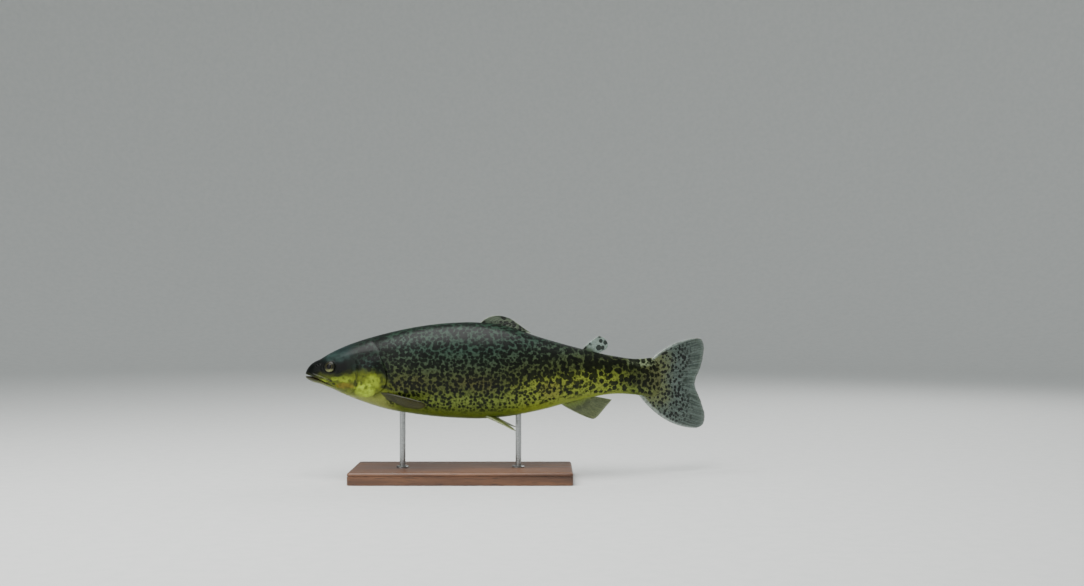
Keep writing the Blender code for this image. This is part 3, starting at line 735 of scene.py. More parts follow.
def finSheet(name, place, shape, material):
    # a closed fin from place(across, out): rays that fork stand up on both of its faces
    shape = {"notch": 0.005, "phase": 0, "wave": 0.5, "waves": 2.5, "fork": 0.45, "joints": 60, "ridge": 0.34,
             **shape}
    rays, rows, perRay = shape["rays"], shape["rows"], shape["perRay"]
    columns = rays * perRay + 1
    a, o = np.meshgrid(np.linspace(0, 1, columns), np.linspace(0, 1, rows), indexing="ij")
    number = np.round(a * rays)
    fromRay = a * rays - number  # -0.5 to 0.5, 0 on a ray
    ragged = 0.5 + 0.5 * np.sin(number * 2.399 + shape["phase"])
    notch = shape["notch"] * ((2 * fromRay) ** 2 + 0.8 * ragged)
    middle = place(a, o * (1 - notch * o**3))
    normals = gridNormals(middle)
    wave = shape["wave"] * np.sin(a * math.pi * shape["waves"] + 2.2 * o + shape["phase"])
    middle = middle + normals * (wave * o**1.3 * mm)[..., None]
    fork = 0.27 * smoothStep(shape["fork"], 1.0, o)
    twig = 0.12 * smoothStep(0.70, 1.05, o)
    ridge = np.zeros(a.shape)
    for at in (-fork - twig, twig - fork, fork - twig, fork + twig):
        ridge = np.maximum(ridge, hump(fromRay - at, 0.20 - 0.10 * o))
    stiff = hump(a, 0.55 / rays)  # the thick unforked ray at the leading edge
    ridge = np.maximum(ridge * (1 - 0.7 * stiff), stiff)
    joints = 0.06 * np.cos(o * shape["joints"] * 2 * math.pi) * smoothStep(0.25, 0.4, o)
    thick = shape["edge"] + (shape["root"] - shape["edge"]) * (1 - o) ** 1.5
    relief = ridge * (shape["ridge"] * (1 - 0.55 * o) * (1 + 0.8 * stiff) + joints * ridge)
    half = (thick / 2 + relief * smoothStep(0, 0.15, o)) * mm
    half[:, -1] *= 0.5
    half[[0, -1]] *= 0.6
    faces = [gridFaces(columns, rows), gridFaces(columns, rows, start=columns * rows, flip=True)]
    border = [(i, 0) for i in range(columns)] + [(columns - 1, j) for j in range(1, rows)]
    border += [(i, rows - 1) for i in range(columns - 2, -1, -1)] + [(0, j) for j in range(rows - 2, 0, -1)]
    ring = np.array([i * rows + j for i, j in border])
    after = np.roll(ring, -1)
    faces.append(np.stack([ring, ring + columns * rows, after + columns * rows, after], -1))
    faced = [(middle + way * normals * half[..., None]).reshape(-1, 3) for way in (1, -1)]
    made = meshObject(name, np.concatenate(faced), np.concatenate(faces), [material])
    turnFacesOut(made)
    addMap(made, "finMap", np.concatenate([np.stack([a, o], -1).reshape(-1, 2)] * 2))  # across and out
    return made


def bowed(root, tip, out, bow):
    # places along rays from root to tip that bow to one side, as two numbers for each
    runX, runZ = tip[0] - root[0], tip[1] - root[1]
    push = bow * 4 * out * (1 - out) / np.maximum(np.hypot(runX, runZ), 1e-9)
    return root[0] + runX * out - runZ * push, root[1] + runZ * out + runX * push


def inMiddlePlane(behind, height, out=0.0):
    along = behind * mm / body["length"]
    up = np.stack([np.zeros_like(height), np.zeros_like(height), height * mm], -1)
    return spinePoint(along) + leftOf(along) * (np.asarray(out) * mm)[..., None] + up


medianFins = {
    # the roots as shares of the length, then the rays' tips from front to rear: mm behind the snout
    # and mm away from the back or the belly
    "dorsalFin": {"node": "dorsal_fin", "roots": (0.488, 0.625), "sign": 1, "bow": 4.2, "wave": 0.9,
                  "tips": ((238.0, 10.8), (246.0, 10.0), (254.0, 7.2), (262.0, 4.0), (270.0, 1.8)),
                  "rays": 13, "perRay": 8, "rows": 30, "root": 2.6, "edge": 0.42, "phase": 0.4},
    "adiposeFin": {"node": "adipose_fin", "roots": (0.778, 0.820), "sign": 1, "bow": 1.6, "wave": 0.3,
                   "tips": ((353.0, 20.5), (359.5, 19.0), (363.5, 13.5), (362.5, 7.5), (357.0, 3.0)),
                   "rays": 4, "perRay": 10, "rows": 34, "root": 3.4, "edge": 1.0, "ridge": 0.0,
                   "joints": 0, "notch": 0.004, "phase": 1.1},
    "analFin": {"node": "anal_fin", "roots": (0.715, 0.800), "sign": -1, "bow": 1.5, "wave": 0.9,
                "tips": ((340.5, 24.6), (346.5, 26.6), (353.0, 23.2), (359.0, 17.0), (364.5, 11.0),
                         (369.0, 6.5)),
                "rays": 11, "perRay": 8, "rows": 34, "root": 2.8, "edge": 0.42, "phase": 2.0},
}
tailFin = {  # mm behind the end of the flesh and above the middle line, from the upper edge to the lower
    "tips": ((67.0, 55.0), (77.0, 52.5), (81.0, 41.0), (75.0, 20.0), (63.5, -2.0), (73.5, -24.0),
             (81.0, -41.5), (78.5, -53.0), (68.0, -57.5)),
    "roots": ((-7.0, 22.0), (3.0, 15.0), (3.5, 0.0), (3.0, -12.0), (-24.0, -15.0)),
    "bows": (6.5, -12.5),
    "shape": {"rays": 21, "perRay": 8, "rows": 48, "root": 3.6, "edge": 0.42, "wave": 1.2, "waves": 3.0,
              "ridge": 0.42, "fork": 0.30, "notch": 0.006, "joints": 70},
}
pairedFins = {  # the root's ends, the front ray's mm, then degrees outwards and up at front and rear
    "pectoralFin": {"node": "pectoral_fin", "front": (92.0, -21.5), "rear": (98.5, -29.5), "length": 66.0,
                    "outTurns": (22, 12), "upTurns": (-8, -19), "rays": 14, "perRay": 8, "rows": 40,
                    "root": 2.3, "edge": 0.40, "wave": 0.5, "phase": 0.8},
    "pelvicFin": {"node": "pelvic_fin", "front": (215.0, -50.0), "rear": (226.0, -51.6), "length": 43.0,
                  "outTurns": (26, 4), "upTurns": (-20, -24), "rays": 10, "perRay": 8, "rows": 30,
                  "root": 2.3, "edge": 0.42, "wave": 0.4, "phase": 2.6},
}
finRoots = {"medianDepth": 2.6, "pairedDepth": 2.2, "droop": 2.4}  # mm


def between(ends, across):
    return ends[0] + (ends[1] - ends[0]) * across


def medianPlace(fin):
    def place(across, out):
        root = (between(fin["roots"], across) * body["length"] / mm, -finRoots["medianDepth"])
        tip = np.moveaxis(curveThrough(spreadEvenly(fin["tips"]), across), -1, 0)
        behind, away = bowed(root, tip, out, fin["bow"] * (1 - across))
        edge = halfSizes(behind * mm / body["length"])[0 if fin["sign"] > 0 else 1] / mm
        return inMiddlePlane(behind, fin["sign"] * (edge + away))

    return place


def tailPlace(across, out):
    root, tip = (np.moveaxis(curveThrough(spreadEvenly(tailFin[part]), across), -1, 0)
                 for part in ("roots", "tips"))
    bow = np.where(across < 0.5, *tailFin["bows"]) * np.abs(1 - 2 * across) ** 1.3
    behind, height = bowed(root, tip, out, bow)
    return inMiddlePlane(body["length"] / mm + behind, height)


def sideAt(along, height):
    # the body's half width in mm at this height above the middle line
    above, below, side, _ = halfSizes(along)
    limit = np.where(height > 0, above, below) / mm
    power = np.where(height > 0, body["backPower"], body["bellyPower"])
    return side / mm * np.clip(1 - np.minimum(1, np.abs(height) / limit) ** power, 0, 1) ** (1 / power)


def pairedPlace(fin, side):
    def place(across, out):
        behind, height = (between(ends, across) for ends in zip(fin["front"], fin["rear"]))
        along = behind * mm / body["length"]
        left = leftOf(along)
        root = inMiddlePlane(behind, height, side * (sideAt(along, height) - finRoots["pairedDepth"]))
        turn, up = (np.radians(between(fin[name], across)) for name in ("outTurns", "upTurns"))
        back = np.stack([-left[..., 1], left[..., 0], np.zeros_like(across)], -1)
        ray = back * np.cos(turn)[..., None] + left * side * np.sin(turn)[..., None]
        ray = ray * np.cos(up)[..., None]
        ray[..., 2] += np.sin(up)
        reach = fin["length"] * (1 - 0.62 * across**1.6) * (1 - 0.12 * (1 - across) ** 6)
        point = root + ray * (reach * mm * out)[..., None]
        point[..., 2] -= finRoots["droop"] * mm * out**2
        return point

    return place


eyeShape = {
    "yaw": 12.0,  # degrees that each eye looks forwards and up
    "pitch": 8.0,
    "sides": 72,
    "point": (0.06, 0.45, 0.09),  # the pupil's point towards the snout: how far, where, how wide
    # shares of the radius: from the pupil's middle over the iris to the back of the ball
    "profile": ((0.0, 0.780), (0.12, 0.777), (0.24, 0.765), (0.34, 0.745), (0.42, 0.720), (0.455, 0.702),
                (0.48, 0.692), (0.52, 0.687), (0.60, 0.672), (0.68, 0.648), (0.76, 0.612), (0.83, 0.570),
                (0.88, 0.520), (0.93, 0.440), (0.97, 0.320), (0.99, 0.180), (1.0, 0.0), (0.90, -0.36),
                (0.60, -0.60), (0.0, -0.72)),
}


def makeEye(name, node, side, material):
    centre, half, _, _ = boxOf(node)
    radius, profile, sides = half[2], eyeShape["profile"], eyeShape["sides"]
    turn = float(heading((head["eye"][0] * mm) / body["length"])) - math.radians(eyeShape["yaw"]) * side
    pitch = math.radians(eyeShape["pitch"])
    out = np.array([math.sin(turn), -math.cos(turn), 0]) * side * math.cos(pitch)
    out[2] = math.sin(pitch)
    around = np.linspace(0, 2 * np.pi, sides, endpoint=False)
    far, where, wide = eyeShape["point"]
    points = [(0, 0, profile[0][1])]
    for reach, depth in profile[1:-1]:
        push = far * np.clip(np.cos(around), 0, 1) ** 3 * hump(reach - where, wide)
        points += list(zip((reach + push) * np.cos(around), reach * np.sin(around), np.full(sides, depth)))
    points.append((0, 0, profile[-1][1]))
    points = np.array(points) * radius
    rings = len(profile) - 2
    last = 1 + (rings - 1) * sides
    faces = [(0, 1 + j, 1 + (j + 1) % sides) for j in range(sides)]
    faces += [tuple(face) for face in gridFaces(rings, sides, start=1, closed=True, flip=True)]
    faces += [(last + j, len(points) - 1, last + (j + 1) % sides) for j in range(sides)]
    ahead = np.array([-math.cos(turn), -math.sin(turn), 0])
    ahead -= out * ahead.dot(out)
    ahead /= np.linalg.norm(ahead)
    up = np.cross(out, ahead) * -side
    made = meshObject(name, centre + points @ np.array([ahead, up, out]), faces, [material])
    turnFacesOut(made)
    addMap(made, "eyeMap", 0.5 + 0.5 * points[:, :2] / radius)  # ahead and up, in shares of the radius
    return made


flank = {
    "darkEdge": (  # mm behind the snout, then mm above the middle line where the dark back ends
        (-10, -6), (0, -5.5), (10, -5.5), (17, -4), (23, -3), (37, -4), (43, -3.5), (48, -2), (55, 0),
        (65, 2.5), (77, 3.5), (88, 2), (96, -3), (104, -9), (114, -13), (130, -15), (165, -17), (210, -16),
        (250, -9), (290, -1), (330, 5), (365, 8), (400, 8), (440, 8)),
    "back": "#2c4334",
    "shoulder": "#32473a",
    "networkUpper": "#3f4d39",
    "networkMiddle": "#485028",
    "networkLower": "#758536",
    "rose": "#6b4c33",
    "gold": "#94a136",
    "tailRoot": "#6b6e48",
    "belly": "#616f26",
    "spot": "#040603",
    "snout": "#020402",
    "brow": "#070c08",
    "nape": "#1c2c22",
    # colour of the painted sheen: the wet crown's reflection, painted into the skin
    "sheen": "#3b514a",
    "crown": "#1b2d2b",
    "cheek": "#6a741b",
    "cheekShade": "#343a0e",
    "bronze": "#8c741f",
    "lip": "#3a3014",
    "gillBright": "#b5ce37",
    # dark of the head's own blotches, and of the painted shadow along the maxilla's rear edge
    "blotchAndShadow": "#1e2207",
    "throat": "#939a4a",
    # pale colour of the painted highlight along the top of the tail's root
    "paintedTailHighlight": "#98a680",
    # large and small clouds of tone, grit on the spots' edges, mottling: mm across, detail, roughness;
    # real pigment specks are some 0.2 mm, and the grit is drawn coarser so that it shows
    "noises": ((35.714, 1.0, 0.5), (4.7619, 4.0, 0.62), (1.05263, 2.0, 0.5), (2.38095, 5.0, 0.6)),
    # mm apart, share of that covered, mm of unevenness
    "smallSpots": (4.3, 0.52, 2.6),
    "largeSpots": (6.0, 0.56, 3.0),
    "fineSpots": (2.9, 0.42, 2.6),
}
patches = {  # mm behind the snout, mm above the middle line, half length, half height, strength
    "warm": ((292.0, -16.0, 15.0, 11.0, 0.30),),
    # painted highlight: light falling on the top of the tail's root, painted as a pale strip
    "paintedTailHighlight": ((404.0, 22.0, 17.0, 5.5, 0.75),),  # along the top of the tail's root
    # painted sheen: reflection off the wet head, painted as paler patches above the eye and on the nape
    "sheen": ((80.0, 12.0, 12.0, 4.0, 0.7), (38.0, 19.0, 16.0, 6.0, 0.45)),
    "bronze": ((50.0, -15.0, 11.0, 3.8, 0.60),),
    "lip": ((10.0, -7.6, 9.0, 2.6, 0.8), (22.0, -12.0, 9.0, 2.2, 0.55)),
    "gillBright": ((74.0, -19.0, 12.0, 9.0, 0.95), (37.5, -6.6, 4.5, 2.4, 0.85), (84.0, -10.0, 8.0, 8.5, 0.5),
                   (24.0, -8.9, 6.0, 1.9, 0.6), (49.0, -6.8, 9.0, 3.6, 0.5)),
    "blotchAndShadow": (
        (55.0, 1.8, 5.0, 2.8, 0.85), (67.0, 4.8, 2.0, 2.0, 0.9), (79.0, 4.8, 2.4, 2.6, 0.95),
        (55.0, -8.6, 2.0, 1.8, 0.6), (69.5, -11.5, 1.5, 2.6, 0.7), (75.5, -16.0, 2.2, 1.8, 0.55),
        (98.0, -15.6, 4.0, 3.0, 0.85), (90.0, 1.0, 3.0, 2.2, 0.8), (42.0, -2.5, 4.5, 2.4, 0.85),
        (84.5, -7.5, 1.6, 1.6, 0.6), (63.6, -4.0, 1.5, 5.0, 0.6), (62.6, -11.0, 2.0, 4.0, 0.75),
        # these three are painted shadow: the dark slit along the maxilla's lower rear edge
        (28.6, -8.0, 2.4, 1.5, 0.8), (32.2, -9.8, 2.4, 1.6, 0.95), (36.0, -12.4, 2.4, 1.7, 0.9),
        (94.0, -7.0, 2.2, 4.0, 0.6), (21.5, -5.6, 3.5, 0.9, 0.6), (73.0, -3.0, 1.3, 1.3, 0.4),
        (60.0, -19.5, 1.5, 1.1, 0.4), (82.0, -13.0, 1.3, 1.0, 0.35), (47.5, -6.0, 1.5, 1.2, 0.4)),
}


def lineAlong(add, behind, points, low, high):
    # the height of a smooth line along the body, through points in mm that lie between low and high
    places = np.array(points, float)
    start, end = places[0, 0], places[-1, 0]
    line = add("FloatCurve", {"Value": add("MapRange", (behind, start * mm, end * mm))})
    curve = line.node.mapping.curves[0]
    while len(curve.points) < len(places):
        curve.points.new(0.5, 0.5)
    for point, (at, height) in zip(curve.points, places):
        point.location = ((at - start) / (end - start), (height - low) / (high - low))
    line.node.mapping.update()
    return add("Math", (line, (high - low) * mm, low * mm), operation="MULTIPLY_ADD")


def shaken(add, place, size, reach, **noise):
    # places pushed about by a noise of this size and reach in mm
    push = add("TexNoise", {"Vector": place, "Scale": 1000 / size, **noise}, "Color")
    push = add("VectorMath", (push, (0.5, 0.5, 0.5)), operation="SUBTRACT")
    return add("VectorMath", (push, (reach * mm,) * 3, place), operation="MULTIPLY_ADD")


def bodyPlaces(add):
    # behind the snout, above the middle line, and that as a share of the half height there
    spot = add("TexCoord", output="Object")
    x, _, z = add("SeparateXYZ", (shaken(add, spot, 7.6923, 6.0, Detail=2.0),)).node.outputs
    behind = add("Math", (x, float(noseTip[0])), operation="SUBTRACT")
    bend = add("MapRange", (behind, 0.1775, 0.4135))
    droop = combine(add, "MULTIPLY", add("Math", (bend, 1.5), operation="POWER"), body["droop"] * mm)
    height = add("Math", (combine(add, "ADD", z, droop), float(noseTip[2])), operation="SUBTRACT")
    shares = []
    for side in (1, 2):
        edge = lineAlong(add, behind, [(row[0] * 420, row[side]) for row in body["stations"]], 0, 80)
        shares.append(add("Math", (height, edge), operation="DIVIDE"))
    upper = add("Math", (height, 0.0), operation="GREATER_THAN")
    return spot, behind, height, add("Mix", (upper, shares[1], shares[0]))


def spotPattern(add, place, pitch, size, uneven):
    # irregular dark spots that run together here and there; above 0 inside a spot
    cells = add("TexVoronoi", {"Vector": shaken(add, place, 3.125, uneven, Detail=4.0, Roughness=0.6),
                               "Scale": 1000 / pitch, "Randomness": 0.85, "Smoothness": 0.10},
                "Distance", feature="SMOOTH_F1")
    crowded = add("TexNoise", {"Vector": place, "Scale": 1000 / 11.111, "Detail": 1.0})
    limit = add("Math", (crowded, 0.20, size - 0.10), operation="MULTIPLY_ADD")
    return add("Math", (limit, cells), operation="SUBTRACT")


def softPatches(add, flat, name):
    # oval patches with soft edges, at places behind the snout and above the middle line
    total = 0.0
    for at, up, long, high, strength in patches[name]:
        offset = add("VectorMath", (flat, (1 / long / mm, 1 / high / mm, 0.0), (-at / long, -up / high, 0.0)),
                     operation="MULTIPLY_ADD")
        reach = add("VectorMath", (offset,), operation="LENGTH")
        total = combine(add, "MAXIMUM", total, (reach, 0.65, 1.3, strength, 0.0))
    return total


def markings(add):
    spot, behind, height, share = bodyPlaces(add)
    flat = add("CombineXYZ", (behind, height))
    edge = lineAlong(add, behind, flank["darkEdge"], -20, 15)
    overEdge = add("Math", (height, edge), operation="SUBTRACT")
    broad, clouds, grit, mottle = (
        add("TexNoise", {"Vector": spot, "Scale": 1000 / size, "Detail": detail, "Roughness": roughness})
        for size, detail, roughness in flank["noises"])
    # the ground colour from belly to back
    upper = add("ValToRGB", (combine(add, "ADD", (overEdge, 0.0, 0.075)),),
                stops=((0.0, flank["networkMiddle"]), (0.30, flank["networkUpper"]),
                       (0.62, flank["shoulder"]), (0.90, flank["back"])))
    lower = add("ValToRGB", (combine(add, "ADD", (share, -0.95, -0.2)),),
                stops=((0.0, flank["belly"]), (0.45, flank["networkLower"]), (1.0, flank["networkMiddle"])))
    lower = overlay(add, lower, flank["gold"], (behind, 0.225, 0.28), (behind, 0.40, 0.36), 0.75)
    ground = overlay(add, lower, upper, (overEdge, -0.006, 0.008))
    flushed = combine(add, "MULTIPLY", (share, 0.02, -0.16), (share, -0.55, -0.3),
                      (broad, 0.42, 0.66, 0.0, 0.16))
    flushed = combine(add, "MAXIMUM", flushed, softPatches(add, flat, "warm"))
    ground = overlay(add, ground, flank["rose"], flushed)
    ground = overlay(add, ground, flank["tailRoot"], (behind, 0.392, 0.428, 0.0, 0.85))
    # painted highlight: a pale strip where light falls on the top of the tail's root
    ground = overlay(add, ground, flank["paintedTailHighlight"], softPatches(add, flat, "paintedTailHighlight"))
    # spots: small in front, larger towards the tail, fading out on the belly and missing on most of the head
    small, large, fine = (spotPattern(add, spot, *flank[name])
                          for name in ("smallSpots", "largeSpots", "fineSpots"))
    chosen = add("Mix", (combine(add, "ADD", (behind, 0.24, 0.36)), small, large))
    gritty = add("Math", (grit, 0.34, -0.17), operation="MULTIPLY_ADD")
    chosen = combine(add, "ADD", chosen, (overEdge, -0.024, 0.006, -0.045, 0.055),
                     (behind, 0.396, 0.432, 0.0, -0.12), gritty)
    spots = combine(add, "MAXIMUM", (chosen, -0.05, 0.06), (fine, -0.04, 0.05, 0.0, 0.55))
    onNape = combine(add, "MULTIPLY", (behind, 0.048, 0.070), (overEdge, -0.001, 0.004))
    onBody = combine(add, "MAXIMUM", onNape, (behind, 0.094, 0.106))
    spots = combine(add, "MULTIPLY", spots, (share, -0.95, -0.72), onBody, (clouds, 0.35, 0.65, 0.88, 0.98))
    # head: near-black snout and brow, grey crown with a painted sheen, mottled yellow cheeks, bronze below
    # them
    cloudy = combine(add, "ADD", (clouds, 0.42, 0.64))
    headUpper = overlay(add, flank["snout"], flank["crown"], (overEdge, 0.012, 0.024))
    # the sheen patches on the crown and nape are painted reflection
    for colour, *parts in (("snout", (behind, 0.030, 0.016)), ("brow", cloudy, 0.5),
                           ("nape", (behind, 0.048, 0.070)),
                           ("sheen", softPatches(add, flat, "sheen"), (clouds, 0.70, 0.30))):
        headUpper = overlay(add, headUpper, flank[colour], *parts)
    headUpper = overlay(add, headUpper, upper, (behind, 0.085, 0.120))
    headLower = overlay(add, flank["cheek"], flank["throat"], (height, -0.020, -0.032))
    for colour in ("bronze", "lip", "gillBright"):
        headLower = overlay(add, headLower, flank[colour], softPatches(add, flat, colour))
    shaded = combine(add, "MULTIPLY", cloudy, (height, -0.034, -0.018, 0.15, 0.62))
    shaded = combine(add, "MAXIMUM", shaded, (overEdge, -0.010, 0.002, 0.0, 0.70))
    headLower = overlay(add, headLower, flank["cheekShade"], shaded)
    cloudyEdge = add("Math", (clouds, 0.014, overEdge), operation="MULTIPLY_ADD")
    headGround = overlay(add, headLower, headUpper, (cloudyEdge, 0.002, 0.013))
    onHead = combine(add, "ADD", (behind, 0.120, 0.096))
    ground = overlay(add, ground, headGround, onHead)
    # the head's dark blotches, with painted shadow in the slit along the maxilla's rear edge
    ground = overlay(add, ground, flank["blotchAndShadow"], softPatches(add, flat, "blotchAndShadow"), onHead)
    # faint mottling, so that no patch is one flat colour
    shade = add("ValToRGB", (mottle,), stops=((0.25, "#b4b4b4"), (0.75, "#ffffff")))
    ground = add("Mix", (0.8, ground, shade), data_type="RGBA", blend_type="MULTIPLY")
    return spot, overlay(add, ground, flank["spot"], spots), mottle


def skinMaterial(name, coating):
    # wet fish skin: a thin film of water and slime over soft pigment gives broad dim highlights;
    # the finest wrinkles, 0.1 mm in life, are drawn 0.7 mm apart so that they show
    made, add = newMaterial(name)
    spot, colour, mottle = markings(add)
    fine = add("TexNoise", {"Vector": spot, "Scale": 1000 / 0.66667, "Detail": 3.0})
    rough = combine(add, "ADD", (mottle, 0.3, 0.7, 0.30, 0.44))
    return finishMaterial(made, add, colour, rough, fine, (0.25, 0.25), {
        "IOR": 1.36, "Specular IOR Level": 0.21,
        "Coat Weight": coating, "Coat Roughness": 0.12, "Coat IOR": 1.34})


def liningMaterial():
    # moist mouth lining: dark and dull red-brown, folds about 2 mm apart
    made, add = newMaterial("mouthLining")
    grain = add("TexNoise", {"Vector": add("TexCoord", output="Object"), "Scale": 1000 / 2.0, "Detail": 4.0})
    tone = overlay(add, "#35201a", "#2a1513", (grain, 0.3, 0.7))
    return finishMaterial(made, add, tone, 0.6, grain, (0.3, 0.4), {"Specular IOR Level": 0.2})


def eyeMaterial():
    # wet cornea over a brassy iris and a black pupil: a clear coat gives the hard highlight;
    # the iris's flecks are drawn 0.8 mm across, twice their size in life
    made, add = newMaterial("wetCornea")
    spot = add("TexCoord", output="Object")
    centred = add("VectorMath", (add("UVMap", uv_map="eyeMap"), (2.0, 2.0, 0.0), (-1.0, -1.0, 0.0)),
                  operation="MULTIPLY_ADD")
    ahead, up, _ = add("SeparateXYZ", (centred,)).node.outputs
    pointed = add("Math", (combine(add, "MAXIMUM", ahead, 0.0), -0.13, ahead), operation="MULTIPLY_ADD")
    reach = add("VectorMath", (add("CombineXYZ", (pointed, up)),), operation="LENGTH")
    pupil = combine(add, "ADD", (reach, 0.475, 0.44))
    rim = combine(add, "ADD", (reach, 0.84, 0.95))
    grain = add("TexNoise", {"Vector": spot, "Scale": 1000 / 0.76923, "Detail": 4.0})
    flecks = add("TexNoise", {"Vector": spot, "Scale": 1000 / 2.38095, "Detail": 2.0})
    # the iris darkens towards its top: partly its own dark flecks, partly painted shade over its upper half
    shade = add("Math", (flecks, 0.4, up), operation="MULTIPLY_ADD")
    shade = combine(add, "ADD", (shade, -0.50, -0.12))
    iris = overlay(add, "#7c7f57", "#5a5b33", (grain, 0.35, 0.65))
    iris = overlay(add, iris, "#0e0e09", shade, 0.96)
    iris = overlay(add, iris, "#8d8148", (reach, 0.44, 0.475), (reach, 0.53, 0.49), 0.22)
    iris = overlay(add, iris, "#12120c", rim)
    covered = combine(add, "MAXIMUM", pupil, rim, shade)
    metal = add("Math", (covered, -0.25, 0.25), operation="MULTIPLY_ADD")
    return finishMaterial(made, add, overlay(add, iris, "#020203", pupil), 0.40, grain, (0.15, 0.2), {
        "Metallic": metal, "Specular IOR Level": 0.1,
        "Coat Weight": 0.5, "Coat Roughness": 0.02, "Coat IOR": 1.34})


def finMaterial(name, colours, spotAmount, spotPitch, outFade, edgeShares, clear=0.12):
    # thin fin web with paler rays over the body's own colours at its root; a little light passes through it
    made, add = newMaterial(name)
    web, ray, edge, root, spotColour = colours
    spot = add("TexCoord", output="Object")
    flat = add("UVMap", uv_map="finMap")
    across, out, _ = add("SeparateXYZ", (flat,)).node.outputs
    grain = add("TexNoise", {"Vector": spot, "Scale": 1000 / 1.6667, "Detail": 4.0})
    clouds = add("TexNoise", {"Vector": spot, "Scale": 1000 / 9.0909, "Detail": 2.0})
    drawn = add("VectorMath", (flat, (90.0, 3.0, 1.0)), operation="MULTIPLY")  # streaks along the rays
    streak = add("TexNoise", {"Vector": drawn, "Scale": 1.0, "Detail": 3.0}, noise_dimensions="2D")
    tone = overlay(add, web, ray, (streak, 0.35, 0.65))
    fromRoot = combine(add, "ADD", out, add("Math", (clouds, 0.3, -0.15), operation="MULTIPLY_ADD"))
    tone = overlay(add, tone, root, (fromRoot, 0.42, 0.10))
    front, rear, rim = edgeShares
    pale = combine(add, "MAXIMUM", (across, front, front * 0.3), (across, 1 - rear, 1 - rear * 0.3),
                   (out, 0.90, 1.0, 0.0, rim))
    tone = overlay(add, tone, edge, pale, 0.8)
    cells = spotPattern(add, spot, spotPitch, 0.46, 3.0)
    under = add("Math", (pale, -0.7, 1.0), operation="MULTIPLY_ADD")
    tone = overlay(add, tone, spotColour, (cells, -0.05, 0.05), (fromRoot, outFade[1], outFade[0]), under,
                   spotAmount)
    shade = overlay(add, "#c8c8c8", "#ffffff", (grain, 0.3, 0.7))
    tone = add("Mix", (0.8, tone, shade), data_type="RGBA", blend_type="MULTIPLY")
    rough = combine(add, "ADD", (grain, 0.3, 0.7, 0.34, 0.50))
    return finishMaterial(made, add, tone, rough, grain, (0.2, 0.3), {
        "Specular IOR Level": 0.25, "Coat Weight": 0.12, "Coat Roughness": 0.15, "Subsurface Weight": clear,
        "Subsurface Scale": 0.002, "Subsurface Radius": (1.0, 0.8, 0.6)})


def woodMaterial():
    # oiled walnut: long dark grain lines with a low sheen;
    # its pores, 0.2 mm wide in life, are drawn 1.1 mm wide so that they show
    made, add = newMaterial("oiledWalnut")
    spot = add("TexCoord", output="Object")
    long, fine = (add("VectorMath", (spot, stretch), operation="MULTIPLY")
                  for stretch in ((6.0, 70.0, 70.0), (60.0, 900.0, 900.0)))
    grain = add("TexNoise", {"Vector": long, "Scale": 1.0, "Detail": 6.0, "Distortion": 0.8})
    pores = add("TexNoise", {"Vector": fine, "Scale": 1.0, "Detail": 2.0})
    tone = add("ValToRGB", (grain,),
               stops=((0.30, "#3a2417"), (0.48, "#5b3a25"), (0.62, "#6f4a30"), (0.78, "#4a2e1d")))
    tone = overlay(add, tone, "#22130b", (pores, 0.42, 0.34, 0.0, 0.6))
    rough = combine(add, "ADD", (grain, 0.3, 0.7, 0.38, 0.52))
    return finishMaterial(made, add, tone, rough, pores, (0.2, 0.2),
                          {"Coat Weight": 0.15, "Coat Roughness": 0.3})


def steelMaterial():
    # brushed stainless steel: fine rings round the rod draw the highlight out; they are drawn 0.25 mm apart,
    # coarser than a real brush leaves them, so that they show
    made, add = newMaterial("brushedSteel")
    lines = add("VectorMath", (add("TexCoord", output="Object"), (80.0, 80.0, 4000.0)), operation="MULTIPLY")
    brush = add("TexNoise", {"Vector": lines, "Scale": 1.0, "Detail": 3.0})
    tone = overlay(add, "#8d8f8f", "#adafaf", brush)
    rough = combine(add, "ADD", (brush, 0.3, 0.7, 0.24, 0.36))
    return finishMaterial(made, add, tone, rough, brush, (0.12, 0.1), {"Metallic": 1.0})


stand = {
    "collar": ((1.0, 0.02), (2.1, 0.02), (2.1, 1.3), (1.9, 1.8), (1.0, 1.9)),  # rod radii, mm above the block
    "block": (  # mm in from the block's side, then mm above the floor, with a groove below the top edge
        (1.2, 0.0), (0.3, 0.3), (0.0, 1.2), (0.0, 10.2), (0.7, 10.6), (0.7, 11.2), (0.0, 11.6), (0.0, 12.3),
        (0.25, 13.4), (0.9, 14.3), (1.9, 14.85), (3.2, 15.0)),
    "corner": 3.5,  # mm, the block's corners seen from above
    "chamfer": (0.86, 0.5),  # a rod's ends: share of its radius, mm long
    "sides": 64,
}


def closedStack(name, points, sides, material, sharp):
    # rings of points joined from the lowest up, with flat ends
    faces = [tuple(face) for face in gridFaces(len(points) // sides, sides, closed=True)]
    faces += [tuple(range(sides - 1, -1, -1)), tuple(range(len(points) - sides, len(points)))]
    made = meshObject(name, points, faces, [material])
    made.data.set_sharp_from_angle(angle=math.radians(sharp))
    return made


def turnedRod(name, node, material):
    centre, half, low, top = boxOf(node)
    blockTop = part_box("stand_base")[1][2]
    narrow, long = stand["chamfer"]
    rings = [(narrow, low[2]), (1.0, low[2] + long * mm)] if low[2] < blockTop else []
    rings += [(reach, blockTop + rise * mm) for reach, rise in stand["collar"]]
    rings += [(1.0, top[2] - long * mm), (narrow, top[2])]
    around = np.linspace(0, 2 * np.pi, stand["sides"], endpoint=False)
    points = [(centre[0] + half[0] * r * math.cos(a), centre[1] + half[0] * r * math.sin(a), z)
              for r, z in rings for a in around]
    return closedStack(name, points, stand["sides"], material, 30)


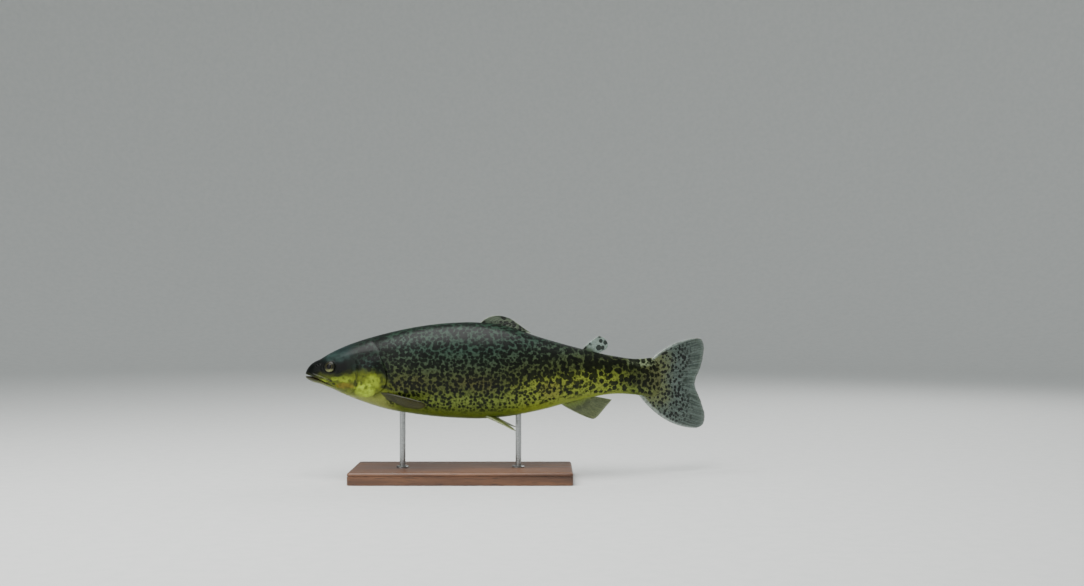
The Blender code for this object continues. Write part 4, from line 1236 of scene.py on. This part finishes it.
def woodBlock(name, node, material):
    centre, half, low, _ = boxOf(node)
    steps = 7  # points round each corner
    turns = [(quarter + step / (steps - 1)) * math.pi / 2 for quarter in range(4) for step in range(steps)]
    points = []
    for inwards, height in stand["block"]:
        radius = (stand["corner"] - 0.8 * inwards) * mm
        reach = half[:2] - inwards * mm - radius
        for index, turn in enumerate(turns):
            middle = index // steps * math.pi / 2 + math.pi / 4
            points.append((centre[0] + math.copysign(reach[0], math.cos(middle)) + radius * math.cos(turn),
                           centre[1] + math.copysign(reach[1], math.sin(middle)) + radius * math.sin(turn),
                           low[2] + height * mm))
    return closedStack(name, points, len(turns), material, 35)


def tagPiece(piece, nodes):
    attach(piece, "root")
    for node in nodes:
        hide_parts(node)


fleshNodes = ("head", "lower_jaw", "maxilla_left", "maxilla_right", "gill_cover_left", "gill_cover_right",
              "trunk_front", "trunk_rear", "tail_stalk")
skin.data.materials.append(skinMaterial("wetTroutSkin", 0.14))
skin.data.materials.append(liningMaterial())
tagPiece(skin, fleshNodes)
scalePaint = skinMaterial("glossyScales", 0.11)
for piece in scales:
    piece.data.materials.append(scalePaint)
    tagPiece(piece, ())
print("skin finished")

cornea = eyeMaterial()
for name, node, side in (("eyeLeft", "eye_left", 1), ("eyeRight", "eye_right", -1)):
    tagPiece(makeEye(name, node, side, cornea), (node,))
print("eyes ready")

finPaints = {
    # colours of web, rays, edges, root and spots, then the spots' strength and mm apart, the shares out where
    # they fade, how wide the pale front and rear edges are and how strong the outer one, and clearness
    "dorsalFin": ("spottedDorsalWeb", ("#404a3c", "#5b6652", "#a3ac9a", "#435040", "#060804"), 0.94, 4.8,
                  (0.95, 1.2), (0.04, 0.10, 0.8)),
    "adiposeFin": ("adiposeFlesh", ("#7c8c84", "#8c9b93", "#a0aea6", "#4c5a48", "#0c100b"), 0.9, 8.0,
                   (0.9, 1.2), (0.02, 0.02, 0.0)),
    "analFin": ("analWeb", ("#50583c", "#6d7650", "#9da588", "#77863a", "#14180c"), 0.35, 7.0,
                (0.4, 0.7), (0.08, 0.04, 0.5)),
    "tailFin": ("greyTailWeb", ("#46534b", "#67746d", "#aab4ad", "#69704a", "#070905"), 0.94, 4.6,
                (0.52, 0.92), (0.06, 0.05, 0.35), 0.16),
    # the pectoral fins are painted very dark: partly their own dusky colour, partly painted shade, the
    # darkest edges standing for the shadowed gap at their root
    "pectoralFin": ("pectoralWebAndShade", ("#2c2c10", "#434318", "#22230b", "#3e4016", "#22220f"), 0.4, 7.0,
                    (0.3, 0.6), (0.05, 0.03, 0.3)),
    "pelvicFin": ("pelvicWeb", ("#5c6634", "#727b47", "#9aa27e", "#6c7a34", "#22280e"), 0.2, 7.0,
                  (0.3, 0.6), (0.10, 0.03, 0.4)),
}
webs = {name: finMaterial(*paint) for name, paint in finPaints.items()}
for name, fin in medianFins.items():
    tagPiece(finSheet(name, medianPlace(fin), fin, webs[name]), (fin["node"],))
tagPiece(finSheet("tailFin", tailPlace, tailFin["shape"], webs["tailFin"]), ("tail_fin",))
for name, fin in pairedFins.items():
    for ending, side in (("left", 1), ("right", -1)):
        piece = finSheet(name + ending.title(), pairedPlace(fin, side), fin, webs[name])
        tagPiece(piece, (f"{fin['node']}_{ending}",))
print("fins ready")

walnut, steel = woodMaterial(), steelMaterial()
tagPiece(woodBlock("standBlock", "stand_base", walnut), ("stand_base",))
for name, node in (("standRodFront", "stand_rod_front"), ("standRodRear", "stand_rod_rear")):
    tagPiece(turnedRod(name, node, steel), (node,))
print("stand ready")
